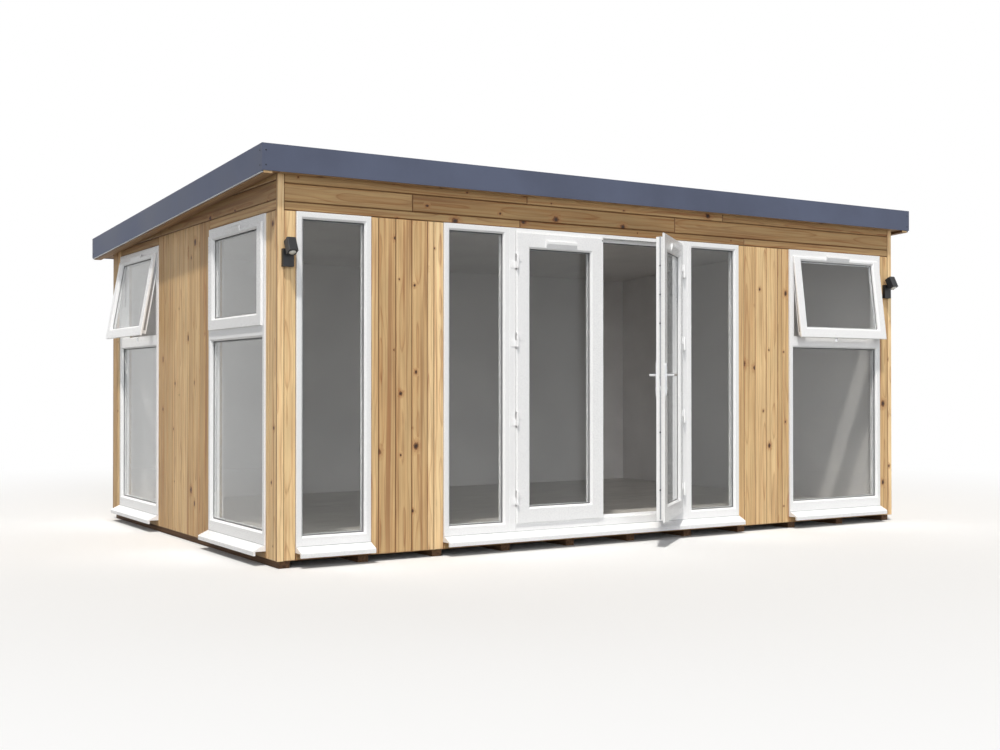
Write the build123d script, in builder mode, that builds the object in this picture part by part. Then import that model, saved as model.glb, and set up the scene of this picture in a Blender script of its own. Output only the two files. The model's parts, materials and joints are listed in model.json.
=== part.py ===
from build123d import *
from math import cos, radians, sin, tan
import os

# Garden office pod: timber walls on bearers, a shallow roof falling to the back,
# full-height plastic windows and a pair of French doors with a sidelight each side.
# Millimetres. X runs along the front, Y from front to back, Z up from the ground.
# The origin is on the ground, under the middle of the floor.

# Front wall, from its left corner to its right corner
left_corner_pier = 126
narrow_window_width = 513
left_pier = 536
sidelight_width = 511
door_width = 1582
right_pier = 539
casement_width = 1035
right_corner_pier = 147

# Left wall, from the front corner to the back corner
side_front_pier = 186
side_middle_pier = 1160
side_back_pier = 239

# Floor
bearer_width = 70
bearer_height = 45
bearer_count = 11
bearer_inset = 5
joist_width = 45
joist_height = 62
joist_count = 10
deck_thickness = 22
floor_finish_thickness = 10

# Walls, from the outside to the inside
cladding_thickness = 20
panel_thickness = 75
lining_thickness = 10
corner_trim_width = 45
lining_joint = 1

# Roof
roof_pitch = 3.0
back_header = 44
roof_panel_height = 132
membrane_height = 5
membrane_cover = 12
side_overhang = 130
front_overhang = 79
back_overhang = 180
fascia_thickness = 12
fascia_drop = 16
side_fascia_extra_drop = 8
ceiling_thickness = 10
soffit_thickness = 12
eaves_batten_width = 60
eaves_batten_height = 20
soffit_joint = 1

# Window and door frames
frame_height = 2080
frame_depth = 70
frame_proud = 8
frame_face = 45
frame_foot_face = 66
frame_rounding = 4
bead_slope = 12
glass_thickness = 24
glass_setback = 24

# Top-hung casements: a fixed light below, an outward-opening sash above
casement_foot_face = 82
transom_bottom = 1304
transom_top = 1392
casement_head_face = 66
sash_lip = 14
sash_lip_thickness = 15
sash_depth = 50
sash_core_gap = 5
sash_seat_gap = 0.3
sash_stile = 66
sash_top_rail = 18
sash_foot_rail = 65
side_sash_opening = 10
front_sash_opening = 7.5

# Sills
sill_projection = 80
sill_drop = 62
sill_body_height = 37
sill_nose_height = 32
sill_nose_thickness = 14
sill_nose_round = 6

# French doors
jamb_face = 50
door_head_face = 24
threshold_face = 51
stop_depth = 15
jamb_stop_width = 32
threshold_stop_height = 20
leaf_gap = 5
meeting_gap = 8
leaf_thickness = 64
leaf_flange = 16
leaf_body_inset = 20
leaf_foot_inset = 8
leaf_proud = 22
leaf_rail = 108
leaf_edge_bevel = 4
lock_groove_width = 12
lock_groove_depth = 8
lock_groove_setback = 14
right_leaf_opening = 40

# Door hardware
axis_proud = 10
knuckle_radius = 9
hinge_plate_width = 38
hinge_plate_thickness = 4
hinge_height = 90
hinge_split = 0.3
hinge_first_height = 360
hinge_spacing = 540
hinge_count = 4
hinge_web_width = 6
hinge_tip_height = 12
hinge_tip_taper = 30
hinge_cap_height = 3
hinge_cap_taper = 45
handle_height = 1202
handle_backset = 54
handle_plate_width = 28
handle_plate_height = 236
handle_plate_thickness = 8
handle_neck_radius = 9
handle_standoff = 44
lever_length = 125
lever_height = 20
lever_thickness = 12
lever_rounding = 4
lever_offset = 31
cylinder_drop = 92
cylinder_radius = 8.5
cylinder_proud = 3
vent_depth = 14
vent_lip = 4
vent_slope_share = 0.62
door_vent_height = 56
door_vent_rise = 6
door_vent_length = 256
window_vent_height = 38
window_vent_overlap = 22
window_vent_length = 256

# Wall lights
light_box_width = 72
light_box_height = 110
light_box_depth = 30
light_centre_height = 1915
light_head_size = 60
light_head_length = 92
light_head_tilt = 27
light_head_reach = 68
light_head_lift = 68
light_head_rounding = 5
light_arm_size = 26
lens_radius = 23
lens_recess = 4

os.makedirs("parts", exist_ok=True)


def stations(start, *sizes):
    """The (low, high) stretches that the sizes cover, one after another."""
    edges = [start]
    for size in sizes:
        edges.append(edges[-1] + size)
    return list(zip(edges, edges[1:]))


def centre(stretch):
    return (stretch[0] + stretch[1]) / 2


def width(stretch):
    return stretch[1] - stretch[0]


# Plan of the building
pod_length = (
    left_corner_pier + narrow_window_width + left_pier + 2 * sidelight_width
    + door_width + right_pier + casement_width + right_corner_pier
)
pod_depth = side_front_pier + side_middle_pier + side_back_pier + 2 * casement_width
left_end = -pod_length / 2
right_end = pod_length / 2
front_face = -pod_depth / 2
back_face = pod_depth / 2
(
    left_corner_run, narrow_run, left_pier_run, left_sidelight_run, door_run,
    right_sidelight_run, right_pier_run, casement_run, right_corner_run,
) = stations(
    left_end, left_corner_pier, narrow_window_width, left_pier, sidelight_width,
    door_width, sidelight_width, right_pier, casement_width, right_corner_pier,
)
side_front_run, side_window_1, side_middle_run, side_window_2, side_back_run = stations(
    front_face, side_front_pier, casement_width, side_middle_pier, casement_width, side_back_pier
)

# Levels
joist_level, deck_level, frame_foot = (
    bearer_height, bearer_height + joist_height, bearer_height + joist_height + deck_thickness
)
frame_top = frame_foot + frame_height
floor_level = frame_foot + floor_finish_thickness
cladding_foot = bearer_height
sill_underside = frame_foot - sill_body_height

# Wall layers, as distances from the cladding's outer face
panel_outer = cladding_thickness
panel_inner = cladding_thickness + panel_thickness
lining_inner = panel_inner + lining_thickness
shell_x = (left_end + panel_outer, right_end - panel_outer)
shell_y = (front_face + panel_outer, back_face - panel_outer)
room_x = (left_end + panel_inner, right_end - panel_inner)
room_y = (front_face + panel_inner, back_face - panel_inner)

# Roof plane
roof_fall = tan(radians(roof_pitch))


def under_roof(y):
    """Height of the roof panel's underside at a distance along Y."""
    return frame_top + back_header + (back_face - y) * roof_fall


# Working planes: the outer faces of the front and left walls, looked at from outside
front_plane = Plane(origin=(0, front_face, 0), x_dir=(1, 0, 0), z_dir=(0, -1, 0))
left_plane = Plane(origin=(left_end, 0, 0), x_dir=(0, -1, 0), z_dir=(-1, 0, 0))


def section_plane(face_plane, position):
    """Plane across a face: its x runs inwards, its y up, its normal along the face."""
    origin = face_plane.from_local_coords(Vector(position, 0, 0))
    return Plane(origin=origin, x_dir=-face_plane.z_dir, z_dir=face_plane.x_dir)


def plan_plane(face_plane, height):
    """Level plane at a face: its x runs along the face and its y inwards."""
    origin = face_plane.from_local_coords(Vector(0, height, 0))
    return Plane(origin=origin, x_dir=face_plane.x_dir, z_dir=(0, 0, 1))


def rectangle(u, v, mode=Mode.ADD):
    """Rectangle over two stretches, in the sketch being drawn."""
    with Locations((centre(u), centre(v))):
        Rectangle(width(u), width(v), mode=mode)


def panel(plane, u, v, depth, openings=(), mode=Mode.ADD):
    """Plate on a plane with rectangular openings cut through it."""
    with BuildSketch(plane) as face:
        rectangle(u, v)
        for opening_u, opening_v in openings:
            rectangle(opening_u, opening_v, mode=Mode.SUBTRACT)
    extrude(face.sketch, amount=depth, mode=mode)


def block(x, y, z):
    """Square-cut timber or panel over three stretches."""
    panel(Plane.XY.offset(z[0]), x, y, width(z))


def prism(plane, outline, length, mode=Mode.ADD, openings=()):
    """Straight length of a polygonal section, with openings cut through it."""
    with BuildSketch(plane) as section:
        with BuildLine():
            Polyline(*outline, close=True)
        make_face()
        for opening_u, opening_v in openings:
            rectangle(opening_u, opening_v, mode=Mode.SUBTRACT)
    extrude(section.sketch, amount=length, mode=mode)


def across(x):
    """Plane square to the building's length."""
    return Plane.YZ.offset(x)


def wall_outline(y, foot, clearance=0):
    """Side view of a wall whose top follows the roof."""
    return [
        (y[0], foot), (y[1], foot),
        (y[1], under_roof(y[1]) - clearance), (y[0], under_roof(y[0]) - clearance),
    ]


def roof_layer(y, low, high):
    """Side view of a layer parallel to the roof, between two heights above its underside."""
    return [
        (y[0], under_roof(y[0]) + low), (y[1], under_roof(y[1]) + low),
        (y[1], under_roof(y[1]) + high), (y[0], under_roof(y[0]) + high),
    ]


def keep(piece, label):
    """Names a finished piece and writes it."""
    piece.part.label = label
    export_step(piece.part, f"parts/{label}.step")


# Floor bearers, which run from front to back under the joists
bearer_y = (front_face + panel_outer + bearer_inset, back_face - panel_outer - bearer_inset)
bearer_reach = pod_length - 2 * (panel_outer + bearer_inset) - bearer_width
with BuildPart() as floor_bearers:
    for index in range(bearer_count):
        middle = -bearer_reach / 2 + index * bearer_reach / (bearer_count - 1)
        block((middle - bearer_width / 2, middle + bearer_width / 2), bearer_y, (0, joist_level))
keep(floor_bearers, "floor_bearers")

# Floor joists along the pod, on the bearers
joist_reach = width(shell_y) - joist_width
with BuildPart() as floor_joists:
    for index in range(joist_count):
        start = shell_y[0] + index * joist_reach / (joist_count - 1)
        block(shell_x, (start, start + joist_width), (joist_level, deck_level))
keep(floor_joists, "floor_joists")

with BuildPart() as floor_deck:
    block(shell_x, shell_y, (deck_level, frame_foot))
keep(floor_deck, "floor_deck")

# Floor finish between the linings
finish_x = (left_end + lining_inner, right_end - lining_inner)
finish_y = (front_face + lining_inner, back_face - lining_inner)
with BuildPart() as floor_finish:
    block(finish_x, finish_y, (frame_foot, floor_level))
keep(floor_finish, "floor_finish")

# Front wall: four piers with a header across the top
front_panel_y = (shell_y[0], room_y[0])
opening_levels = (frame_foot, frame_top)
front_pier_runs = [
    (shell_x[0], left_corner_run[1]), left_pier_run, right_pier_run, (right_corner_run[0], shell_x[1])
]
with BuildPart() as front_wall_piers:
    for pier_run in front_pier_runs:
        block(pier_run, front_panel_y, opening_levels)
keep(front_wall_piers, "front_wall_piers")

with BuildPart() as front_wall_header:
    prism(across(shell_x[0]), wall_outline(front_panel_y, frame_top), width(shell_x))
keep(front_wall_header, "front_wall_header")

# Left wall: three piers with a header whose top follows the roof
left_panel_x = (shell_x[0], room_x[0])
left_pier_runs = [
    (room_y[0], side_front_run[1]), side_middle_run, (side_back_run[0], room_y[1])
]
with BuildPart() as left_wall_piers:
    for pier_run in left_pier_runs:
        block(left_panel_x, pier_run, opening_levels)
keep(left_wall_piers, "left_wall_piers")

with BuildPart() as left_wall_header:
    prism(across(left_panel_x[0]), wall_outline(room_y, frame_top), panel_thickness)
keep(left_wall_header, "left_wall_header")

# Right and back walls have no openings
with BuildPart() as right_wall:
    prism(across(room_x[1]), wall_outline(room_y, frame_foot), panel_thickness)
keep(right_wall, "right_wall")

with BuildPart() as back_wall:
    back_panel_y = (room_y[1], shell_y[1])
    prism(across(shell_x[0]), wall_outline(back_panel_y, frame_foot), width(shell_x))
keep(back_wall, "back_wall")

# Cladding sheets, cut round the frames and under the sills
cladding_x = (left_end + corner_trim_width, right_end - corner_trim_width)
cladding_y = (front_face + cladding_thickness, back_face - cladding_thickness)
cut_levels = (sill_underside, frame_top)
front_openings = [
    (narrow_run, cut_levels), ((left_sidelight_run[0], right_sidelight_run[1]), cut_levels),
    (casement_run, cut_levels),
]
side_openings = [(side_window_1, cut_levels), (side_window_2, cut_levels)]
with BuildPart() as front_cladding:
    sheet_levels = (cladding_foot, under_roof(cladding_y[0]))
    panel(front_plane, cladding_x, sheet_levels, -cladding_thickness, front_openings)
keep(front_cladding, "front_cladding")

with BuildPart() as left_cladding:
    prism(
        across(left_end), wall_outline(cladding_y, cladding_foot), cladding_thickness,
        openings=side_openings,
    )
keep(left_cladding, "left_cladding")

with BuildPart() as right_cladding:
    prism(
        across(right_end - cladding_thickness), wall_outline(cladding_y, cladding_foot),
        cladding_thickness,
    )
keep(right_cladding, "right_cladding")

with BuildPart() as back_cladding:
    back_sheet_y = (cladding_y[1], back_face)
    prism(
        across(cladding_x[0]), wall_outline(back_sheet_y, cladding_foot), width(cladding_x)
    )
keep(back_cladding, "back_cladding")

# Corner trims: one upright batten over each corner of the cladding
with BuildPart() as corner_trims:
    for trim_x in (left_end, right_end - corner_trim_width):
        for trim_y in ((front_face, cladding_y[0]), (cladding_y[1], back_face)):
            prism(across(trim_x), wall_outline(trim_y, cladding_foot), corner_trim_width)
keep(corner_trims, "corner_trims")

# Inner lining: one sheet a wall, open round the frames, under the ceiling
side_lining_y = (finish_y[0] + lining_joint, finish_y[1] - lining_joint)
with BuildPart() as wall_lining:
    lining_levels = (frame_foot, under_roof(finish_y[0]) - ceiling_thickness)
    panel(
        front_plane.offset(-panel_inner), room_x, lining_levels, -lining_thickness,
        front_openings,
    )
    for lining_x, openings in ((room_x[0], side_openings), (finish_x[1], ())):
        prism(
            across(lining_x), wall_outline(side_lining_y, frame_foot, ceiling_thickness),
            lining_thickness, openings=openings,
        )
    prism(
        across(room_x[0]),
        wall_outline((finish_y[1], room_y[1]), frame_foot, ceiling_thickness), width(room_x),
    )
keep(wall_lining, "wall_lining")

with BuildPart() as ceiling_lining:
    prism(across(room_x[0]), roof_layer(room_y, -ceiling_thickness, 0), width(room_x))
keep(ceiling_lining, "ceiling_lining")

# Roof: a thick insulated panel under a membrane, edged by fascias that stand above it
roof_x = (left_end - side_overhang, right_end + side_overhang)
roof_y = (front_face - front_overhang, back_face + back_overhang)
panel_x = (roof_x[0] + fascia_thickness, roof_x[1] - fascia_thickness)
panel_y = (roof_y[0] + fascia_thickness, roof_y[1] - fascia_thickness)
membrane_top = roof_panel_height + membrane_height
fascia_top = membrane_top + membrane_cover
with BuildPart() as roof_panel:
    prism(across(panel_x[0]), roof_layer(panel_y, 0, roof_panel_height), width(panel_x))
keep(roof_panel, "roof_panel")

with BuildPart() as roof_membrane:
    prism(
        across(panel_x[0]), roof_layer(panel_y, roof_panel_height, membrane_top), width(panel_x)
    )
keep(roof_membrane, "roof_membrane")

with BuildPart() as front_fascia:
    front_levels = (under_roof(panel_y[0]) - fascia_drop, under_roof(roof_y[0]) + fascia_top)
    block(roof_x, (roof_y[0], panel_y[0]), front_levels)
keep(front_fascia, "front_fascia")

with BuildPart() as back_fascia:
    back_levels = (under_roof(panel_y[1]) - fascia_drop, under_roof(roof_y[1]) + fascia_top)
    block(roof_x, (panel_y[1], roof_y[1]), back_levels)
keep(back_fascia, "back_fascia")

side_fascia_outline = roof_layer(panel_y, -fascia_drop - side_fascia_extra_drop, fascia_top)
with BuildPart() as left_fascia:
    prism(across(roof_x[0]), side_fascia_outline, fascia_thickness)
keep(left_fascia, "left_fascia")

with BuildPart() as right_fascia:
    prism(across(panel_x[1]), side_fascia_outline, fascia_thickness)
keep(right_fascia, "right_fascia")

# Soffit boards under the overhangs, with a batten along the outer edge at each side
batten_outline = roof_layer(panel_y, -soffit_thickness - eaves_batten_height, -soffit_thickness)
side_soffit_outline = roof_layer(panel_y, -soffit_thickness, 0)
with BuildPart() as soffit_boards:
    prism(across(panel_x[0]), side_soffit_outline, left_end - panel_x[0])
    prism(across(panel_x[0]), batten_outline, eaves_batten_width)
    prism(across(right_end), side_soffit_outline, panel_x[1] - right_end)
    prism(across(panel_x[1] - eaves_batten_width), batten_outline, eaves_batten_width)
    for soffit_y in ((panel_y[0], front_face), (back_face, panel_y[1])):
        prism(
            across(left_end + soffit_joint), roof_layer(soffit_y, -soffit_thickness, 0),
            pod_length - 2 * soffit_joint,
        )
keep(soffit_boards, "soffit_boards")


def inset(u, v, side, foot, head):
    """The light left inside a frame once its faces are taken off."""
    return (u[0] + side, u[1] - side), (v[0] + foot, v[1] - head)


def rounded_ring(plane, u, v, lights, depth):
    """Frame with beaded lights: each light's outer edge slopes in, the rim is rounded."""
    panel(plane, u, v, -depth, lights)
    outer = faces().sort_by(Axis(plane.origin, plane.z_dir))[-1]
    chamfer([edge for wire in outer.inner_wires() for edge in wire.edges()], bead_slope)
    outer = faces().sort_by(Axis(plane.origin, plane.z_dir))[-1]
    fillet(outer.outer_wire().edges(), frame_rounding)


def pane(plane, light):
    """Sealed glass unit that fills a light."""
    panel(plane.offset(-glass_setback), *light, -glass_thickness)


front_frame_plane = front_plane.offset(frame_proud)
left_frame_plane = left_plane.offset(frame_proud)

# Fixed frames: the narrow window and the two sidelights
fixed_frames = (
    ("narrow_window_frame", narrow_run),
    ("left_sidelight_frame", left_sidelight_run),
    ("right_sidelight_frame", right_sidelight_run),
)
fixed_lights = []
for label, run in fixed_frames:
    light = inset(run, opening_levels, frame_face, frame_foot_face, frame_face)
    with BuildPart() as fixed_frame:
        rounded_ring(front_frame_plane, run, opening_levels, [light], frame_depth)
    keep(fixed_frame, label)
    fixed_lights.append((front_frame_plane, light))

# Casement frames: a fixed light below the transom and an open rebate above it
casements = (
    ("front_casement", front_frame_plane, casement_run, front_sash_opening),
    ("side_front_casement", left_frame_plane, (-side_window_1[1], -side_window_1[0]), 0),
    ("side_back_casement", left_frame_plane, (-side_window_2[1], -side_window_2[0]), side_sash_opening),
)
transom_levels = (frame_foot + transom_bottom, frame_foot + transom_top)
sash_planes = []
for label, plane, run, opening in casements:
    lower_light, _ = inset(run, opening_levels, frame_face, 0, 0)
    lower_levels = (frame_foot + casement_foot_face, transom_levels[0])
    rebate_levels = (transom_levels[1], frame_top - casement_head_face)
    with BuildPart() as casement_frame:
        rounded_ring(plane, run, opening_levels, [(lower_light, lower_levels)], frame_depth)
        panel(plane, lower_light, rebate_levels, -frame_depth, mode=Mode.SUBTRACT)
    keep(casement_frame, f"{label}_frame")
    fixed_lights.append((plane, (lower_light, lower_levels)))

    # The sash hangs from its top outer edge and its foot swings out
    lip_u = (lower_light[0] - sash_lip, lower_light[1] + sash_lip)
    lip_height = width(rebate_levels) + 2 * sash_lip
    core_u = (lower_light[0] + sash_core_gap, lower_light[1] - sash_core_gap)
    core_v = (-lip_height + sash_lip + sash_core_gap, -sash_lip - sash_core_gap)
    sash_light = inset(lip_u, (-lip_height, 0), sash_stile + sash_lip, 0, 0)[0]
    sash_light_v = (-lip_height + sash_foot_rail + sash_lip, -sash_top_rail - sash_lip)
    tilt = radians(opening)
    sash_plane = Plane(
        origin=plane.from_local_coords(
            Vector(0, rebate_levels[1] + sash_lip, sash_lip_thickness + sash_seat_gap)
        ),
        x_dir=plane.x_dir,
        z_dir=plane.z_dir * cos(tilt) + Vector(0, 0, sin(tilt)),
    )
    with BuildPart() as sash:
        rounded_ring(
            sash_plane, lip_u, (-lip_height, 0), [(sash_light, sash_light_v)], sash_lip_thickness
        )
        panel(
            sash_plane.offset(-sash_lip_thickness), core_u, core_v,
            sash_lip_thickness - sash_depth, [(sash_light, sash_light_v)],
        )
    keep(sash, f"{label}_sash")
    sash_planes.append((sash_plane, (sash_light, sash_light_v)))

with BuildPart() as fixed_glass:
    for plane, light in fixed_lights:
        pane(plane, light)
keep(fixed_glass, "fixed_glass")

sash_glass_depth = sash_depth - glass_thickness
with BuildPart() as sash_glass:
    for plane, light in sash_planes:
        panel(plane.offset(-sash_glass_depth), *light, -glass_thickness)
keep(sash_glass, "sash_glass")

# Sills: a sloping top under each frame that ends in a rounded, dropped nose
sill_outline = [
    (panel_outer, frame_foot),
    (panel_outer, sill_underside),
    (-sill_projection + sill_nose_thickness, sill_underside),
    (-sill_projection + sill_nose_thickness, frame_foot - sill_drop),
    (-sill_projection, frame_foot - sill_drop),
    (-sill_projection, frame_foot - sill_drop + sill_nose_height - sill_nose_round),
    (-sill_projection + sill_nose_round, frame_foot - sill_drop + sill_nose_height),
    (-frame_proud, frame_foot),
]
sill_runs = (
    (front_plane, narrow_run),
    (front_plane, (left_sidelight_run[0], right_sidelight_run[1])),
    (front_plane, casement_run),
    (left_plane, (-side_window_1[1], -side_window_1[0])),
    (left_plane, (-side_window_2[1], -side_window_2[0])),
)
with BuildPart() as window_sills:
    for plane, run in sill_runs:
        prism(section_plane(plane, run[0]), sill_outline, width(run))
keep(window_sills, "window_sills")

# Door frame between the sidelights: rebated jambs, head and threshold
opening_run = (door_run[0] + jamb_face, door_run[1] - jamb_face)
stop_run = (opening_run[0] + jamb_stop_width, opening_run[1] - jamb_stop_width)
door_levels = (frame_foot + threshold_face, frame_top - door_head_face)
stop_top = door_levels[1] - jamb_stop_width
frame_back = frame_depth - frame_proud
stop_band = (frame_back - stop_depth, frame_back)
with BuildPart() as door_jambs:
    for jamb_run, stop in (
        ((door_run[0], opening_run[0]), (opening_run[0], stop_run[0])),
        ((opening_run[1], door_run[1]), (stop_run[1], opening_run[1])),
    ):
        panel(front_frame_plane, jamb_run, opening_levels, -frame_depth)
        panel(front_plane.offset(-stop_band[0]), stop, door_levels, -stop_depth)
    outer_uprights = edges().filter_by(Axis.Z).group_by(Axis.Y)[0]
    fillet(outer_uprights, frame_rounding)
keep(door_jambs, "door_jambs")

with BuildPart() as door_head:
    panel(front_frame_plane, opening_run, (door_levels[1], frame_top), -frame_depth)
    panel(front_plane.offset(-stop_band[0]), stop_run, (stop_top, door_levels[1]), -stop_depth)
keep(door_head, "door_head")

with BuildPart() as door_threshold:
    panel(front_frame_plane, opening_run, (frame_foot, door_levels[0]), -frame_depth)
    threshold_stop = (door_levels[0], door_levels[0] + threshold_stop_height)
    panel(front_plane.offset(-stop_band[0]), stop_run, threshold_stop, -stop_depth)
keep(door_threshold, "door_threshold")

# Door leaves. A leaf's plane stands on its hinge axis, looked at from outside;
# hand is 1 for the leaf hinged at the left and -1 for the one hinged at the right.
leaf_width = (width(opening_run) - 2 * leaf_gap - meeting_gap) / 2
leaf_levels = (door_levels[0] + leaf_gap, door_levels[1] - leaf_gap)
hinge_y = front_face - leaf_proud - axis_proud


def leaf_plane(hand, opening):
    """Plane of a leaf through its hinge axis, turned out by its opening angle."""
    side = opening_run[0] if hand > 0 else opening_run[1]
    turn = radians(opening)
    return Plane(
        origin=(side + hand * leaf_gap / 2, hinge_y, 0),
        x_dir=(cos(turn), -hand * sin(turn), 0),
        z_dir=(-hand * sin(turn), -cos(turn), 0),
    )


def from_hinge(hand, near, far):
    """Stretch of a leaf between two distances from its hinge axis."""
    return tuple(sorted((hand * near, hand * far)))


def make_leaf(hand, plane):
    """Leaf frame: a beaded outer flange, and behind it a body that is narrower at the hinge
    edge and head, and a little shorter at the foot, where it laps the threshold's low stop.
    The lock edge is bevelled to clear its twin. The right leaf, which opens first, is
    narrower at its lock edge too and has a groove there for its lock strip."""
    outer_face = plane.offset(-axis_proud)
    near, far = leaf_gap / 2, leaf_gap / 2 + leaf_width
    light = leaf_light(hand)
    rounded_ring(outer_face, from_hinge(hand, near, far), leaf_levels, [light], leaf_flange)
    body_far = far if hand > 0 else far - leaf_body_inset
    body_levels = (leaf_levels[0] + leaf_foot_inset, leaf_levels[1] - leaf_body_inset)
    body_face = outer_face.offset(-leaf_flange)
    panel(
        body_face, from_hinge(hand, near + leaf_body_inset, body_far), body_levels,
        leaf_flange - leaf_thickness, [light],
    )
    if hand < 0:
        groove = from_hinge(hand, body_far - lock_groove_depth, body_far)
        panel(
            body_face.offset(-lock_groove_setback), groove, body_levels, -lock_groove_width,
            mode=Mode.SUBTRACT,
        )
    lock_edge = [
        (hand * far, axis_proud),
        (hand * (far + leaf_edge_bevel), axis_proud),
        (hand * (far + leaf_edge_bevel), axis_proud + leaf_thickness),
        (hand * (far - leaf_edge_bevel), axis_proud + leaf_thickness),
    ]
    prism(plan_plane(plane, leaf_levels[0]), lock_edge, width(leaf_levels), mode=Mode.SUBTRACT)


def leaf_light(hand):
    """Glazed light of a leaf."""
    near, far = leaf_gap / 2 + leaf_rail, leaf_gap / 2 + leaf_width - leaf_rail
    return from_hinge(hand, near, far), (leaf_levels[0] + leaf_rail, leaf_levels[1] - leaf_rail)


def vent(face_plane, middle, foot, length, height):
    """Trickle vent: a long hood whose underside slopes back to the face at its foot."""
    top = foot + height
    outline = [
        (0, foot), (-vent_depth, foot + height * vent_slope_share), (-vent_depth, top - vent_lip),
        (-vent_depth + vent_lip, top), (0, top),
    ]
    prism(section_plane(face_plane, middle - length / 2), outline, length)


def leaf_hinges(hand, plane):
    """Upper halves of the flag hinges: a knuckle on the axis and a plate on the leaf."""
    plate = from_hinge(hand, leaf_gap / 2, hinge_plate_width)
    half = (hinge_height - hinge_split) / 2
    for index in range(hinge_count):
        level = hinge_first_height + index * hinge_spacing + hinge_split / 2
        with BuildSketch(plan_plane(plane, level)) as section:
            Circle(knuckle_radius)
            rectangle(plate, (axis_proud - hinge_plate_thickness, axis_proud))
        extrude(section.sketch, amount=half)
        with BuildSketch(plan_plane(plane, level + half)) as cap:
            Circle(knuckle_radius)
        extrude(cap.sketch, amount=hinge_cap_height, taper=hinge_cap_taper)


def frame_hinge_halves(hand, plane):
    """Lower halves of the flag hinges: a knuckle, a web and a plate on the jamb."""
    jamb_depth = leaf_proud + axis_proud - frame_proud
    plate = from_hinge(hand, -hinge_plate_width, -leaf_gap)
    web = from_hinge(hand, -leaf_gap / 2 - hinge_web_width, -leaf_gap / 2)
    half = (hinge_height - hinge_split) / 2
    for index in range(hinge_count):
        level = hinge_first_height + index * hinge_spacing - hinge_split / 2 - half
        with BuildSketch(plan_plane(plane, level)) as section:
            Circle(knuckle_radius)
            rectangle(web, (0, jamb_depth))
            rectangle(plate, (jamb_depth - hinge_plate_thickness, jamb_depth))
        extrude(section.sketch, amount=half)
        with BuildSketch(plan_plane(plane, level)) as tip:
            Circle(knuckle_radius)
        extrude(tip.sketch, amount=-hinge_tip_height, taper=hinge_tip_taper)


leaves = (("left_door", 1, 0), ("right_door", -1, right_leaf_opening))
for label, hand, opening in leaves:
    plane = leaf_plane(hand, opening)
    outer_face = plane.offset(-axis_proud)
    with BuildPart() as leaf:
        make_leaf(hand, plane)
    keep(leaf, f"{label}_leaf")

    with BuildPart() as leaf_glass:
        pane(outer_face, leaf_light(hand))
    keep(leaf_glass, f"{label}_glass")

    with BuildPart() as leaf_hardware:
        leaf_hinges(hand, plane)
        light_u, light_v = leaf_light(hand)
        vent_foot = light_v[1] + door_vent_rise
        vent(outer_face, centre(light_u), vent_foot, door_vent_length, door_vent_height)
    keep(leaf_hardware, f"{label}_hardware")

with BuildPart() as frame_hinges:
    for hand in (1, -1):
        frame_hinge_halves(hand, leaf_plane(hand, 0))
keep(frame_hinges, "frame_hinges")


def lever_set(face_plane, middle, toward_hinge):
    """Lever handle on its long plate, with the lever pointing to the hinge side."""
    plate_v = (
        handle_height - handle_plate_height / 2 - lever_offset,
        handle_height + handle_plate_height / 2 - lever_offset,
    )
    with BuildSketch(face_plane) as backplate:
        with Locations((middle, centre(plate_v))):
            SlotOverall(handle_plate_height, handle_plate_width, rotation=90)
    extrude(backplate.sketch, amount=handle_plate_thickness)
    with BuildSketch(face_plane) as neck:
        with Locations((middle, handle_height)):
            Circle(handle_neck_radius)
    extrude(neck.sketch, amount=handle_standoff)
    with BuildSketch(face_plane) as cylinder:
        with Locations((middle, handle_height - cylinder_drop)):
            Circle(cylinder_radius)
    extrude(cylinder.sketch, amount=handle_plate_thickness + cylinder_proud)
    with BuildSketch(face_plane.offset(handle_standoff)) as lever:
        with Locations((middle + toward_hinge * (lever_length - lever_height) / 2, handle_height)):
            SlotOverall(lever_length, lever_height)
    extrude(lever.sketch, amount=lever_thickness)
    grip = faces().sort_by(Axis(face_plane.origin, face_plane.z_dir))[-1]
    fillet(grip.edges(), lever_rounding)


right_plane = leaf_plane(-1, right_leaf_opening)
lock_stile = leaf_gap / 2 + leaf_width - handle_backset
inner_face = Plane(
    origin=right_plane.from_local_coords(Vector(0, 0, -axis_proud - leaf_thickness)),
    x_dir=-right_plane.x_dir,
    z_dir=-right_plane.z_dir,
)
with BuildPart() as door_handles:
    lever_set(right_plane.offset(-axis_proud), -lock_stile, 1)
    lever_set(inner_face, lock_stile, -1)
keep(door_handles, "door_handles")

# Trickle vents on the top rails of the sashes
with BuildPart() as window_vents:
    for plane, (light_u, _) in sash_planes:
        vent(
            plane, centre(light_u), -window_vent_overlap, window_vent_length, window_vent_height
        )
keep(window_vents, "window_vents")

# Wall lights: a flat box on the wall carries a square head that points down and out
light_runs = (left_corner_run, right_corner_run)
head_turn = radians(light_head_tilt)
with BuildPart() as wall_lights:
    for run in light_runs:
        middle = centre(run)
        box_u = (middle - light_box_width / 2, middle + light_box_width / 2)
        box_v = (
            light_centre_height - light_box_height / 2, light_centre_height + light_box_height / 2
        )
        panel(front_plane, box_u, box_v, light_box_depth)
        arm_u = (middle - light_arm_size / 2, middle + light_arm_size / 2)
        arm_v = (box_v[1] - light_arm_size, box_v[1])
        panel(front_plane, arm_u, arm_v, light_head_reach)
        head_plane = Plane(
            origin=front_plane.from_local_coords(
                Vector(middle, light_centre_height + light_head_lift, light_head_reach)
            ),
            x_dir=front_plane.x_dir,
            z_dir=Vector(0, -sin(head_turn), -cos(head_turn)),
        )
        with BuildSketch(head_plane.offset(-light_head_length / 2)):
            RectangleRounded(light_head_size, light_head_size, light_head_rounding)
        extrude(amount=light_head_length)
        with BuildSketch(head_plane.offset(light_head_length / 2 - lens_recess)):
            Circle(lens_radius)
        extrude(amount=lens_recess, mode=Mode.SUBTRACT)
keep(wall_lights, "wall_lights")
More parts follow.
